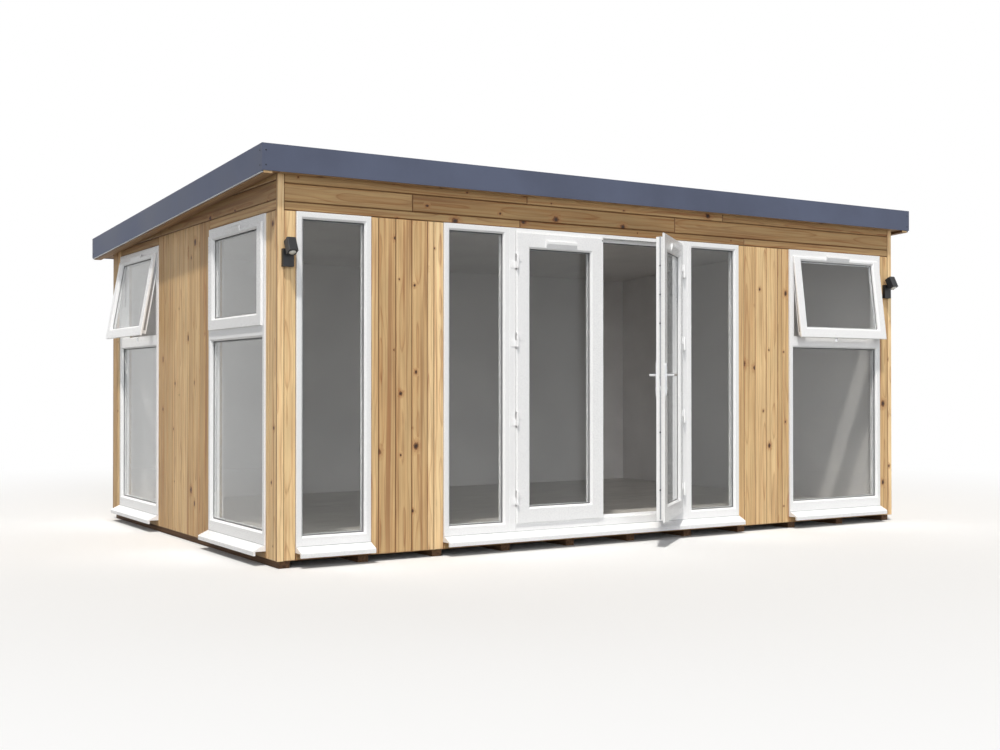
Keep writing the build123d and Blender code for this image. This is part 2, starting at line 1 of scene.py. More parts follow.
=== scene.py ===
import bpy
import bmesh
import json
import math
import random
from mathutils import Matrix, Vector


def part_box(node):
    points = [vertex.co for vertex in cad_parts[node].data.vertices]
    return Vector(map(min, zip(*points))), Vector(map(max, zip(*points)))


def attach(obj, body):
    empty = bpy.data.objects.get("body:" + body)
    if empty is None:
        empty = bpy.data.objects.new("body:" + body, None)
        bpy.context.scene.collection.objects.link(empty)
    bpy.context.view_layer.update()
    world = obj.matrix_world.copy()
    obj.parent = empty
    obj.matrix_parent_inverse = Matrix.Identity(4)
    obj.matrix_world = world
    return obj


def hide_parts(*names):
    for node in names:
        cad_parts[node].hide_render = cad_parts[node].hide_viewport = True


# Garden office pod: the timber, plastic, glass and metal that dress its solids.
# Metres, in the frame's own place: X along the front, Y from front to back, Z up.

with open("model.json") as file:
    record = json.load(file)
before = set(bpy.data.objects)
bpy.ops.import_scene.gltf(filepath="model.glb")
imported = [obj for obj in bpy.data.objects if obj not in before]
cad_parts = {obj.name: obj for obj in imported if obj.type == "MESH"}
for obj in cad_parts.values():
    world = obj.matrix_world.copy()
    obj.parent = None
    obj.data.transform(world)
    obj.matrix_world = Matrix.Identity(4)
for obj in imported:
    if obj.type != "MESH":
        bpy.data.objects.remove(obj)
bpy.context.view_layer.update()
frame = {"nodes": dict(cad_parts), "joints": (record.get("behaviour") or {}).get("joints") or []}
chance = random.Random(7)

MM = 0.001
HAIR = 1e-6
X, Y, Z = range(3)


# ---------------------------------------------------------------- places on the building

def mm(*sizes):
    """Sizes in millimetres, as metres."""
    return tuple(size * MM for size in sizes)


class Face:
    """A flat side of something: u runs along it, v up it and w out of it."""

    def __init__(self, origin, along, up=(0, 0, 1)):
        self.origin = Vector(origin)
        self.along = Vector(along).normalized()
        self.up = Vector(up).normalized()
        self.out = self.along.cross(self.up)

    def at(self, u, v, w=0.0):
        return self.origin + self.along * u + self.up * v + self.out * w

    def moved(self, w):
        return Face(self.at(0, 0, w), self.along, self.up)


left_end, right_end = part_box("left_cladding")[0].x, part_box("right_cladding")[1].x
front_y, back_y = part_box("front_cladding")[0].y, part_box("back_cladding")[1].y
boards_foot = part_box("front_cladding")[0].z
frame_foot, frame_top = [corner.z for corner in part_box("narrow_window_frame")]
leaf_foot, leaf_head = [corner.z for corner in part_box("right_door_leaf")]

front = Face((0, front_y, 0), (1, 0, 0))
left = Face((left_end, 0, 0), (0, -1, 0))
right = Face((right_end, 0, 0), (0, 1, 0))
back = Face((0, back_y, 0), (-1, 0, 0))

ROOF_SLOPE = math.radians(3.0)
ROOF_FALL = math.tan(ROOF_SLOPE)
down_roof = Vector((0, math.cos(ROOF_SLOPE), -math.sin(ROOF_SLOPE)))
panel_low, panel_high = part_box("roof_panel")


def under_roof(y):
    """Height of the roof panel's underside."""
    return panel_low.z + (panel_high.y - y) * ROOF_FALL


# Sections of the frames, from the foot of the frames up where they are heights
FRAME_PROUD = 8 * MM
FRAME_FACE = 45 * MM
FRAME_FOOT_FACE = 66 * MM
CASEMENT_FOOT_FACE = 82 * MM
CASEMENT_HEAD_FACE = 66 * MM
TRANSOM = mm(1304, 1392)
BEAD = 12 * MM
GLASS_SETBACK = 24 * MM
UNIT_THICKNESS = 24 * MM
SHEET = 4 * MM
# Sections of the top-hung sashes
SASH_LIP = 14 * MM
SASH_LIP_THICKNESS = 15 * MM
SASH_SEAT_GAP = 0.3 * MM
SASH_DEPTH = 50 * MM
SASH_STILE = 66 * MM
SASH_TOP_RAIL = 18 * MM
SASH_FOOT_RAIL = 65 * MM
# Sections of the door leaves
LEAF_WIDTH = 732 * MM
LEAF_GAP = 5 * MM
LEAF_RAIL = 108 * MM
LEAF_THICKNESS = 64 * MM
AXIS_PROUD = 10 * MM
RIGHT_LEAF_OPENING = 40.0

front_frames = front.moved(w=FRAME_PROUD)
left_frames = left.moved(w=FRAME_PROUD)
FIXED_FRAMES = ("narrow_window_frame", "left_sidelight_frame", "right_sidelight_frame")
# The face of each casement, and the degrees by which its sash stands open
CASEMENTS = {
    "front_casement": (front_frames, 7.5),
    "side_front_casement": (left_frames, 0.0),
    "side_back_casement": (left_frames, 10.0),
}


def run_on(face, node):
    """Stretch of a solid along a face."""
    low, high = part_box(node)
    ends = [(low - face.origin).dot(face.along), (high - face.origin).dot(face.along)]
    return min(ends), max(ends)


def fixed_light(node):
    """The glazed opening of a fixed frame."""
    start, end = run_on(front, node)
    return (
        (start + FRAME_FACE, end - FRAME_FACE),
        (frame_foot + FRAME_FOOT_FACE, frame_top - FRAME_FACE),
    )


def casement_lights(name):
    """A casement's face and fixed light, then its sash's own face and light."""
    face, tilt = CASEMENTS[name]
    tilt = math.radians(tilt)
    start, end = run_on(face, name + "_frame")
    across = (start + FRAME_FACE, end - FRAME_FACE)
    lower = (frame_foot + CASEMENT_FOOT_FACE, frame_foot + TRANSOM[0])
    rebate = (frame_foot + TRANSOM[1], frame_top - CASEMENT_HEAD_FACE)
    sash = Face(
        face.at(0, rebate[1] + SASH_LIP, SASH_LIP_THICKNESS + SASH_SEAT_GAP), face.along,
        Vector((0, 0, math.cos(tilt))) - face.out * math.sin(tilt),
    )
    sash_high = rebate[1] - rebate[0] + 2 * SASH_LIP
    sash_light = (
        (across[0] + SASH_STILE, across[1] - SASH_STILE),
        (-sash_high + SASH_FOOT_RAIL + SASH_LIP, -SASH_TOP_RAIL - SASH_LIP),
    )
    return face, (across, lower), sash, sash_light


def leaf_face(hinge, hand, opening):
    """Outer face of a door leaf, with u measured from its hinge axis."""
    place = [joint["pos_m"] for joint in frame["joints"] if joint["name"] == hinge][0]
    turn = math.radians(opening)
    along = Vector((math.cos(turn), -hand * math.sin(turn), 0))
    return Face((place[X], place[Y], 0), along).moved(w=-AXIS_PROUD)


def leaf_light(hand):
    """The glazed opening of a door leaf."""
    ends = (hand * (LEAF_GAP / 2 + LEAF_RAIL), hand * (LEAF_GAP / 2 + LEAF_WIDTH - LEAF_RAIL))
    return (min(ends), max(ends)), (leaf_foot + LEAF_RAIL, leaf_head - LEAF_RAIL)


# The side on which each leaf runs from its hinge, and its outer face
LEAVES = {
    "left_door": (1, leaf_face("left_door_hinge", 1, 0.0)),
    "right_door": (-1, leaf_face("right_door_hinge", -1, RIGHT_LEAF_OPENING)),
}


# ---------------------------------------------------------------- finishes

def linear(shade):
    """sRGB hex to the linear colour that Blender works in."""
    parts = [int(shade[place:place + 2], 16) / 255 for place in (1, 3, 5)]
    return [
        part / 12.92 if part <= 0.04045 else ((part + 0.055) / 1.055) ** 2.4 for part in parts
    ] + [1.0]


def join(tree, node, inputs):
    """Links or sets the inputs of a node."""
    for name, value in inputs.items():
        if isinstance(value, bpy.types.Node):
            value = value.outputs[0]
        if isinstance(value, bpy.types.NodeSocket):
            tree.links.new(value, node.inputs[name])
        else:
            node.inputs[name].default_value = linear(value) if isinstance(value, str) else value


def add(tree, kind, inputs=None, stops=(), **settings):
    """Adds a node with its settings, links and ramp stops."""
    made = tree.nodes.new("ShaderNode" + kind)
    for name, value in settings.items():
        setattr(made, name, value)
    join(tree, made, inputs or {})
    if stops:
        marks = made.color_ramp.elements
        while len(marks) < len(stops):
            marks.new(1.0)
        for mark, (place, shade) in zip(marks, stops):
            mark.position = place
            mark.color = linear(shade)
    return made


def finish(name):
    """An empty finish: its material, its node tree and its shader."""
    made = bpy.data.materials.new(name)
    made.use_nodes = True
    tree = made.node_tree
    tree.nodes.clear()
    shader = add(tree, "BsdfPrincipled")
    add(tree, "OutputMaterial", {"Surface": shader})
    return made, tree, shader


# Flat-sawn pine with a honey stain. The rings stand about 3 mm apart in the real board and
# are drawn at 17 mm, or they would be lost at this distance.
PINE_RING = 17 * MM
PINE_HEART = 42 * MM
KNOT_CELL = mm(150, 300)
KNOT_RADIUS = mm(4.5, 19)
KNOTLESS = 0.7


def sawn_pine(name, pale, honey, late, knot_rim, knot_shade, gloss):
    """Pine board: arched and straight rings, fine fibres, dark knots that bend the rings, and
    joints darkened partly by dirt and partly by painted shade."""
    made, tree, shader = finish(name)
    place = add(tree, "Attribute", attribute_name="grain").outputs["Vector"]
    tone = add(tree, "Attribute", attribute_name="tone").outputs["Fac"]
    dirt_and_shade = add(tree, "Attribute", attribute_name="dirt_and_shade").outputs["Fac"]
    across, deep, lengthwise = add(tree, "SeparateXYZ", {0: place}).outputs

    # Each unevenness has a width and a length in mm, and a fineness: the edges of knots, the
    # tree's heart and the ripple of its rings, then fibres, streaks, redder heartwood, weathered
    # patches and short checks, where the surface has opened along the fibres
    ragged, wander, ripple, fibres, streaks, bands, patches, checks = [
        add(tree, "TexNoise", {
            "Vector": add(tree, "VectorMath", {
                0: place, 1: [1 / size for size in mm(wide, wide, long)],
            }, operation="MULTIPLY"),
            "Scale": 1.0, "Detail": detail,
        })
        for wide, long, detail in (
            (13.33, 18.182, 2.0), (333, 1111, 2.0), (38.5, 200, 2.0), (1.11, 90.9, 3.0),
            (20.8, 909, 4.0), (45.5, 2500, 2.0), (71.4, 384.6, 4.0), (3.85, 200, 1.0),
        )
    ]

    # Knots: one at most in each stretch of board, and most stretches have none
    cell = add(tree, "CombineXYZ", {
        0: add(tree, "Math", {0: across, 1: KNOT_CELL[0]}, operation="DIVIDE"),
        1: add(tree, "Math", {0: lengthwise, 1: KNOT_CELL[1]}, operation="DIVIDE"),
    })
    knots = add(
        tree, "TexVoronoi", {"Vector": cell, "Scale": 1.0, "Randomness": 0.9},
        voronoi_dimensions="2D",
    )
    lot = add(tree, "SeparateColor", {0: knots.outputs["Color"]})
    present = add(tree, "Math", {0: lot.outputs[0], 1: KNOTLESS}, operation="GREATER_THAN")
    # Most knots are small and a few are large
    size = add(tree, "Math", {0: lot.outputs[1], 1: 1.6}, operation="POWER")
    size = add(tree, "MapRange", {0: size, 3: KNOT_RADIUS[0], 4: KNOT_RADIUS[1]})
    # They are a quarter longer than wide, with a ragged edge
    apart = add(
        tree, "VectorMath", {0: cell, 1: knots.outputs["Position"]}, operation="SUBTRACT"
    )
    apart = add(
        tree, "VectorMath", {0: apart, 1: (KNOT_CELL[0], KNOT_CELL[1] * 0.8, 0.0)},
        operation="MULTIPLY",
    )
    from_knot = add(tree, "VectorMath", {0: apart}, operation="LENGTH").outputs["Value"]
    ragged = add(tree, "MapRange", {0: ragged, 1: 0.3, 2: 0.7, 3: 0.78, 4: 1.25})
    from_knot = add(tree, "Math", {0: from_knot, 1: ragged}, operation="MULTIPLY")
    ratio = add(tree, "Math", {0: from_knot, 1: size}, operation="DIVIDE")
    # Heart, rim and halo: where each starts and is full, in knot radii, and its strength
    core, rim, halo = [
        add(tree, "Math", {
            0: add(tree, "MapRange", {0: ratio, 1: outer, 2: inner, 4: strength},
                   interpolation_type="SMOOTHSTEP"),
            1: present,
        }, operation="MULTIPLY")
        for outer, inner, strength in ((0.85, 0.45, 1.0), (1.3, 0.95, 0.85), (3.4, 1.0, 1.0))
    ]

    # Rings round the tree's heart, which wanders behind the face along the board. They bulge
    # round a knot and ripple a little.
    heart = add(
        tree, "MapRange", {0: wander, 1: 0.25, 2: 0.75, 3: PINE_HEART * 0.35, 4: PINE_HEART * 1.9}
    )
    depth = add(tree, "Math", {0: heart, 1: deep}, operation="ADD")
    radius = add(tree, "CombineXYZ", {0: across, 1: depth})
    radius = add(tree, "VectorMath", {0: radius}, operation="LENGTH").outputs["Value"]
    for swell, height in ((halo, 10 * MM), (ripple, 5 * MM)):
        radius = add(tree, "Math", {0: swell, 1: height, 2: radius}, operation="MULTIPLY_ADD")
    year = add(tree, "Math", {0: radius, 1: PINE_RING}, operation="DIVIDE")
    year = add(tree, "Math", {0: year}, operation="FRACT")
    wood = add(
        tree, "ValToRGB", {0: year},
        stops=((0.0, pale), (0.55, pale), (0.8, honey), (0.92, late), (0.96, honey), (1.0, pale)),
    )

    # Streaks run along every board, and redder heartwood lies in some only
    streaked = add(
        tree, "ValToRGB", {0: streaks}, stops=((0.3, late), (0.42, honey), (0.56, pale))
    )
    bands = add(
        tree, "MapRange", {0: bands, 1: 0.54, 2: 0.7, 4: 0.6}, interpolation_type="SMOOTHSTEP"
    )
    for share, shade in ((0.6, streaked), (bands, late)):
        wood = add(tree, "Mix", {0: share, 6: wood, 7: shade}, data_type="RGBA").outputs[2]
    fibre_shade = add(tree, "MapRange", {0: fibres, 1: 0.3, 2: 0.7, 3: 0.93, 4: 1.05})
    wood = add(tree, "HueSaturation", {"Color": wood, "Value": fibre_shade})
    # Board by board, from dark brown to pale wood. The dark end, low in value and browner, is
    # painted shade where the courses under the eaves and the sills use it.
    wood = add(tree, "HueSaturation", {"Color": wood} | {
        part: add(tree, "MapRange", {0: tone, 3: dark_end, 4: fresh})
        for part, dark_end, fresh in (
            ("Value", 0.4, 1.16), ("Hue", 0.488, 0.502), ("Saturation", 1.12, 0.89),
        )
    })
    patches = add(tree, "MapRange", {0: patches, 1: 0.3, 2: 0.7, 3: 0.88, 4: 1.08})
    wood = add(tree, "HueSaturation", {"Color": wood, "Value": patches})
    # Checks are dark. The eased edges darken toward each joint, partly with dirt and partly with
    # painted shade of the groove. The wood is amber round a knot.
    checks = add(tree, "MapRange", {0: checks, 1: 0.71, 2: 0.76, 4: 0.55})
    amber = add(tree, "Math", {0: halo, 1: 0.5}, operation="MULTIPLY")
    # Painted shade with some dirt: the eased edges darken toward the joint
    groove_dirt_and_shade = add(tree, "Math", {0: dirt_and_shade, 1: 0.62}, operation="MULTIPLY")
    for share, shade in (
        (checks, knot_rim), (amber, late), (rim, knot_rim), (core, knot_shade), (groove_dirt_and_shade, knot_rim),
    ):
        wood = add(tree, "Mix", {0: share, 6: wood, 7: shade}, data_type="RGBA").outputs[2]

    relief = add(tree, "Math", {0: fibres, 1: year}, operation="ADD")
    relief = add(tree, "Bump", {"Height": relief, "Strength": 0.3, "Distance": 0.5 * MM})
    stain = add(
        tree, "MapRange", {0: fibres, 1: 0.3, 2: 0.7, 3: gloss - 0.06, 4: gloss + 0.08}
    )
    join(tree, shader, {"Base Color": wood, "Roughness": stain, "Normal": relief, "IOR": 1.5})
    return made


def rough_timber(name, pale, dark, along, gloss):
    """Sawn structural timber, streaked along its length and left rough by the saw."""
    made, tree, shader = finish(name)
    place = add(tree, "TexCoord").outputs["Object"]
    # Streaks are about 14 mm wide, and the saw's marks stand about 6 mm apart along the piece
    streaks, saw = [
        add(tree, "TexNoise", {
            "Vector": add(tree, "VectorMath", {
                0: place, 1: [1 / (long if axis == along else wide) for axis in (X, Y, Z)],
            }, operation="MULTIPLY"),
            "Scale": 1.0, "Detail": detail,
        })
        for (wide, long), detail in ((mm(14.3, 500), 4.0), (mm(500, 6.25), 2.0))
    ]
    wood = add(tree, "ValToRGB", {0: streaks}, stops=((0.32, dark), (0.7, pale)))
    height = add(tree, "Math", {0: saw, 1: streaks}, operation="ADD")
    relief = add(tree, "Bump", {"Height": height, "Strength": 0.4, "Distance": 0.8 * MM})
    join(tree, shader, {"Base Color": wood, "Roughness": gloss, "Normal": relief})
    return made


def extruded_plastic(name, shade, shadow, gloss=0.28):
    """White uPVC: satin and very slightly uneven, as it comes out of the die."""
    made, tree, shader = finish(name)
    place = add(tree, "TexCoord").outputs["Object"]
    # A fine grain of about 6 mm, as fine as shows here, keeps the white from looking painted
    grain = add(tree, "TexNoise", {"Vector": place, "Scale": 1 / (5.88 * MM), "Detail": 3.0})
    colour = add(tree, "ValToRGB", {0: grain}, stops=((0.35, shadow), (0.65, shade)))
    satin = add(tree, "MapRange", {0: grain, 1: 0.3, 2: 0.7, 3: gloss - 0.03, 4: gloss + 0.03})
    relief = add(tree, "Bump", {"Height": grain, "Strength": 0.04, "Distance": 0.05 * MM})
    join(tree, shader, {"Base Color": colour, "Roughness": satin, "Normal": relief, "IOR": 1.5})
    return made


def coated_sheet(name, shade, shade_2, gloss, grit=1.11 * MM, grit_depth=0.12 * MM, shine=0.5):
    """Plastic-coated steel or moulded rubber: even colour with a fine grit and faint marks."""
    made, tree, shader = finish(name)
    place = add(tree, "TexCoord").outputs["Object"]
    cloud = add(tree, "TexNoise", {"Vector": place, "Scale": 1 / (588 * MM), "Detail": 5.0})
    colour = add(tree, "ValToRGB", {0: cloud}, stops=((0.35, shade_2), (0.62, shade)))
    grains = add(tree, "TexNoise", {"Vector": place, "Scale": 1 / grit, "Detail": 2.0})
    satin = add(tree, "MapRange", {0: cloud, 1: 0.3, 2: 0.7, 3: gloss - 0.06, 4: gloss + 0.1})
    relief = add(tree, "Bump", {"Height": grains, "Strength": 0.25, "Distance": grit_depth})
    join(tree, shader, {
        "Base Color": colour, "Roughness": satin, "Normal": relief, "IOR": 1.5,
        "Specular IOR Level": shine,
    })
    return made


def polished_steel(name, shade, gloss):
    """Plated, galvanised or blackened steel, softened by a fine brushing."""
    made, tree, shader = finish(name)
    place = add(tree, "TexCoord").outputs["Object"]
    # The marks lie level, about 3 mm long and 0.4 mm high
    brushed = [1 / size for size in mm(3.33, 3.33, 0.417)]
    marks = add(tree, "VectorMath", {0: place, 1: brushed}, operation="MULTIPLY")
    marks = add(tree, "TexNoise", {"Vector": marks, "Scale": 1.0, "Detail": 2.0})
    satin = add(tree, "MapRange", {0: marks, 1: 0.3, 2: 0.7, 3: gloss - 0.05, 4: gloss + 0.07})
    join(tree, shader, {"Base Color": shade, "Metallic": 1.0, "Roughness": satin})
    return made


def float_glass(name):
    """Coated float glass: a unit of two sheets passes about 70 of 100 parts of the light to the
    eye. The lamps pass through it, so the room behind it is lit. Its IOR is held below the
    real 1.52, or the white studio mirrored in four surfaces would veil the room."""
    made, tree, shader = finish(name)
    join(tree, shader, {
        "Base Color": "#EBECEC", "Transmission Weight": 1.0, "Roughness": 0.0, "IOR": 1.28,
    })
    clear = add(tree, "BsdfTransparent")
    rays = add(tree, "LightPath").outputs
    lit = add(tree, "MixShader", {0: rays["Is Shadow Ray"], 1: shader, 2: clear})
    join(tree, tree.nodes["Material Output"], {"Surface": lit})
    return made


def oak_laminate(name):
    """Pale grey oak-look laminate: short printed streaks and a low satin gloss."""
    made, tree, shader = finish(name)
    place = add(tree, "Attribute", attribute_name="grain").outputs["Vector"]
    tone = add(tree, "Attribute", attribute_name="tone").outputs["Fac"]
    # The streaks are about 22 mm wide and 420 mm long
    printed = [1 / size for size in mm(22.2, 22.2, 416.7)]
    streaks = add(tree, "VectorMath", {0: place, 1: printed}, operation="MULTIPLY")
    streaks = add(tree, "TexNoise", {"Vector": streaks, "Scale": 1.0, "Detail": 5.0})
    colour = add(
        tree, "ValToRGB", {0: streaks},
        stops=((0.3, "#9C9893"), (0.52, "#BDB9B3"), (0.72, "#CFCBC5")),
    )
    value = add(tree, "MapRange", {0: tone, 3: 0.93, 4: 1.06})
    colour = add(tree, "HueSaturation", {"Color": colour, "Value": value})
    join(tree, shader, {"Base Color": colour, "Roughness": 0.38})
    return made


pine = sawn_pine("honey_pine", "#F0CE94", "#DEB177", "#A87042", "#643719", "#2C190C", 0.58)
soffit_timber = sawn_pine(
    "soffit_pine", "#B38E60", "#95724A", "#6C4D30", "#4E3019", "#2E1C10", 0.62
)
sawn_bearer = rough_timber("treated_bearer", "#77563A", "#432E1D", Y, 0.8)
sawn_joist = rough_timber("treated_joist", "#6E5036", "#402B1B", X, 0.8)
board_panel = rough_timber("wall_board", "#B7A27C", "#94805C", X, 0.78)
upvc = extruded_plastic("white_upvc", "#F5F5F5", "#F2F2F3")
painted_wall = coated_sheet("painted_board", "#D2CFCD", "#C8C5C3", 0.72, 3.85 * MM, 0.25 * MM)
# The steel's leather-like embossing scatters its shine
anthracite = coated_sheet("anthracite_coated_steel", "#5F667B", "#575D70", 0.55, shine=0.2)
drip_metal = coated_sheet("pale_coated_steel", "#DADDE0", "#C9CCD0", 0.4)
rubber_roof = coated_sheet("rubber_membrane", "#3B3C3E", "#2E2F31", 0.7, 3.125 * MM, 0.4 * MM)
gasket_rubber = coated_sheet("black_gasket", "#1B1C1D", "#141516", 0.55)
lamp_black_coat = coated_sheet("black_powder_coat", "#1D1E20", "#16171A", 0.48, 0.714 * MM)
warm_edge = coated_sheet("warm_edge_spacer", "#C6C7C8", "#BABBBD", 0.5)
seal_grey = coated_sheet("grey_silicone", "#7C7E81", "#707275", 0.5)
plated_steel = polished_steel("satin_chrome", "#D5D6D8", 0.2)
galvanised = polished_steel("galvanised_steel", "#A3A5A8", 0.42)
dark_screw = polished_steel("dark_screw", "#3A3C42", 0.36)
glass = float_glass("float_glass")
lens_glass = extruded_plastic("lamp_lens", "#EDEBE2", "#DEDBD0", 0.2)
laminate = oak_laminate("laminate")


# ---------------------------------------------------------------- making shapes

SMOOTH_UP_TO = math.radians(40)


def into_scene(name, data):
    """A new object in the scene."""
    made = bpy.data.objects.new(name, data)
    bpy.context.scene.collection.objects.link(made)
    return made


class Shape:
    """Points and faces of one piece, with the grain place, board tone and joint darkening of each
    point, which is partly dirt and partly painted shade."""

    def __init__(self):
        self.points, self.faces, self.grain, self.tone, self.dirt_and_shade = [], [], [], [], []

    def put(self, points, grain=None, tone=0.5, dirt_and_shade=0.0):
        start = len(self.points)
        self.points += [tuple(point) for point in points]
        self.grain += [tuple(place) for place in (grain or points)]
        self.tone += [tone] * len(points)
        self.dirt_and_shade += [dirt_and_shade] * len(points)
        return list(range(start, start + len(points)))

    def skin(self, rows, looped=False):
        """Joins rows of points, each row a closed loop, into one closed surface."""
        for one, two in zip(rows, rows[1:] + (rows[:1] if looped else [])):
            for place in range(len(one)):
                after = (place + 1) % len(one)
                self.faces.append((one[place], one[after], two[after], two[place]))
        if not looped:
            self.faces += [tuple(reversed(rows[0])), tuple(rows[-1])]

    def piece(self, name, coat, body="building", replaces=(), *, slot, smooth=False):
        """Makes the object, sets it on its body and hides the solids that it replaces."""
        mesh = bpy.data.meshes.new(name)
        mesh.from_pydata(self.points, [], self.faces)
        work = bmesh.new()
        work.from_mesh(mesh)
        bmesh.ops.recalc_face_normals(work, faces=work.faces)
        work.to_mesh(mesh)
        work.free()
        grain = mesh.attributes.new("grain", "FLOAT_VECTOR", "POINT")
        grain.data.foreach_set("vector", [part for place in self.grain for part in place])
        for kept, values in (("tone", self.tone), ("dirt_and_shade", self.dirt_and_shade)):
            mesh.attributes.new(kept, "FLOAT", "POINT").data.foreach_set("value", values)
        mesh.materials.append(coat)
        if smooth:
            mesh.shade_smooth()
            mesh.set_sharp_from_angle(angle=SMOOTH_UP_TO)
        made = into_scene(name, mesh)
        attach(made, body)
        if replaces:
            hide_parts(*replaces)


def below(outline, line):
    """Cuts an outline off above a sloping line, which gives a height for each u."""
    kept = []
    for one, two in zip(outline, outline[1:] + outline[:1]):
        over_one, over_two = one[1] - line(one[0]), two[1] - line(two[0])
        if over_one <= 0:
            kept.append(one)
        if over_one * over_two < 0:
            share = over_one / (over_one - over_two)
            kept.append((one[0] + (two[0] - one[0]) * share, one[1] + (two[1] - one[1]) * share))
    return kept


def shrunk(outline, by):
    """The same convex outline, drawn in by one distance all round."""
    lines = []
    for one, two in zip(outline, outline[1:] + outline[:1]):
        run = Vector((two[0] - one[0], two[1] - one[1])).normalized()
        inward = Vector((-run.y, run.x))
        lines.append((Vector(one) + inward * by, run))
    corners = []
    for (at_1, run_1), (at_2, run_2) in zip(lines[-1:] + lines[:-1], lines):
        turn = run_1.x * run_2.y - run_1.y * run_2.x
        gap = at_2 - at_1
        along = (gap.x * run_2.y - gap.y * run_2.x) / turn
        corners.append(tuple(at_1 + run_1 * along))
    return corners


def box_outline(u, v):
    return [(u[0], v[0]), (u[1], v[0]), (u[1], v[1]), (u[0], v[1])]


# Each board keeps half of a 2.2 mm joint free, and takes its grain from another place in the
# log: so far from its middle, and so far along
JOINT_HALF = 1.1 * MM
HEART_ASIDE = 60 * MM
LOG_LENGTH = 60

# Board tones run from 0, dark brown, to 1, pale
# Painted shade: the level courses under the eaves and under the sills take dark tones
PAINTED_SHADE_BOARD = (0.0, 0.4)
# Partly tanned wood and partly painted shade: most of the left wall takes these darker tones
TANNED_AND_PAINTED_SHADE_BOARD = (0.3, 0.85)
SOUND_BOARD = (0.45, 1.0)
# Painted light on the left wall's strip by the front corner, which takes these pale tones
PALE_BOARD = (0.75, 1.0)


def plank(shape, face, outline, thickness, edge, upright=True, tones=SOUND_BOARD):
    """One board on a face: eased edges in front, its own stretch of grain and its own tone."""
    outline = shrunk(outline, JOINT_HALF)
    inner = shrunk(outline, edge)
    flat = [u for u, v in outline] if upright else [v for u, v in outline]
    heart = (min(flat) + max(flat)) / 2 + chance.uniform(-HEART_ASIDE, HEART_ASIDE)
    offset = chance.uniform(0, LOG_LENGTH)
    tone = chance.uniform(*tones)

    def grain_of(points, w):
        return [
            ((u if upright else v) - heart, -w, (v if upright else u) + offset)
            for u, v in points
        ]

    shape.skin([
        shape.put([face.at(u, v, w) for u, v in points], grain_of(points, w), tone, dirt_and_shade)
        for points, w, dirt_and_shade in (
            (outline, -thickness, 1.0), (outline, -edge, 1.0), (inner, 0.0, 0.0),
        )
    ])


def bar(shape, face, u, v, w, edge=0.0):
    """A straight bar over three stretches, with its front edges eased."""
    outline = box_outline(u, v)
    rows = [shape.put([face.at(a, b, w[0]) for a, b in outline])]
    if edge:
        rows.append(shape.put([face.at(a, b, w[1] - edge) for a, b in outline]))
    rows.append(shape.put([face.at(a, b, w[1]) for a, b in shrunk(outline, edge)]))
    shape.skin(rows)


def strip_round(shape, face, light, reach_in, w):
    """A mitred square strip round a light, between two distances in from its edge."""
    (u0, u1), (v0, v1) = light
    near, far = reach_in
    shape.skin([
        shape.put([
            face.at(u, v, depth)
            for u, v in box_outline((u0 + inset, u1 - inset), (v0 + inset, v1 - inset))
        ])
        for inset, depth in ((far, w[0]), (near, w[0]), (near, w[1]), (far, w[1]))
    ], looped=True)


def turned(shape, centre, axis, profile, sides=16):
    """A turned piece: (radius, distance along the axis) from its foot to its top."""
    axis = Vector(axis).normalized()
    side = axis.orthogonal().normalized()
    other = axis.cross(side)
    turns = [2 * math.pi * step / sides for step in range(sides)]
    shape.skin([
        shape.put([
            Vector(centre) + axis * along
            + side * radius * math.cos(turn) + other * radius * math.sin(turn)
            for turn in turns
        ])
        for radius, along in profile
    ])


# ---------------------------------------------------------------- cladding

BOARD = 118 * MM
BOARD_THICKNESS = 20 * MM
V_EDGE = 6 * MM
TRIM = 45 * MM
TRIM_EDGE = 2 * MM
SILL_BODY = 37 * MM
FRIEZE_FOOT = 2211 * MM
FRIEZE_LINES = mm(2265, 2379)
SIDE_FRIEZE_LINE = 2277 * MM
ABOVE_ROOF = 3.0
UNDER_ROOF_GAP = 1 * MM
FIRST_PLANK = (0.7, 2.0)
PLANK_LENGTH = (1.75, 2.35)
SHORTEST_PLANK = 0.5
LOWEST_COURSE = 12 * MM
SLIVER = 20 * MM
# Boards between the narrow window and the doors, then between the doors and the casement
WIDE_PIERS = (mm(58, 123, 118, 116, 49, 72), mm(62, 118, 118, 118, 48, 75))
CUT_BOARD = 48 * MM


def steps(start, widths):
    """Stretches of the given widths, one after another."""
    made = []
    for size in widths:
        made.append((start, start + size))
        start += size
    return made


def spread(start, end):
    """Whole boards over a stretch, with the last one cut to fit."""
    made = []
    while start < end - HAIR:
        stop = min(start + BOARD, end)
        if end - stop < SLIVER:
            stop = end
        made.append((start, stop))
        start = stop
    return made


def roof_line(face):
    """Height of the roof's underside for each u of a wall."""
    return lambda u: under_roof(face.at(u, 0).y) - UNDER_ROOF_GAP


def uprights(shape, face, runs, v, tones=SOUND_BOARD, edge=V_EDGE):
    """Upright boards over some stretches of a wall, cut off under the roof."""
    line = roof_line(face)
    for run in runs:
        outline = below(box_outline(run, v), line)
        plank(shape, face, outline, BOARD_THICKNESS, edge, tones=tones)


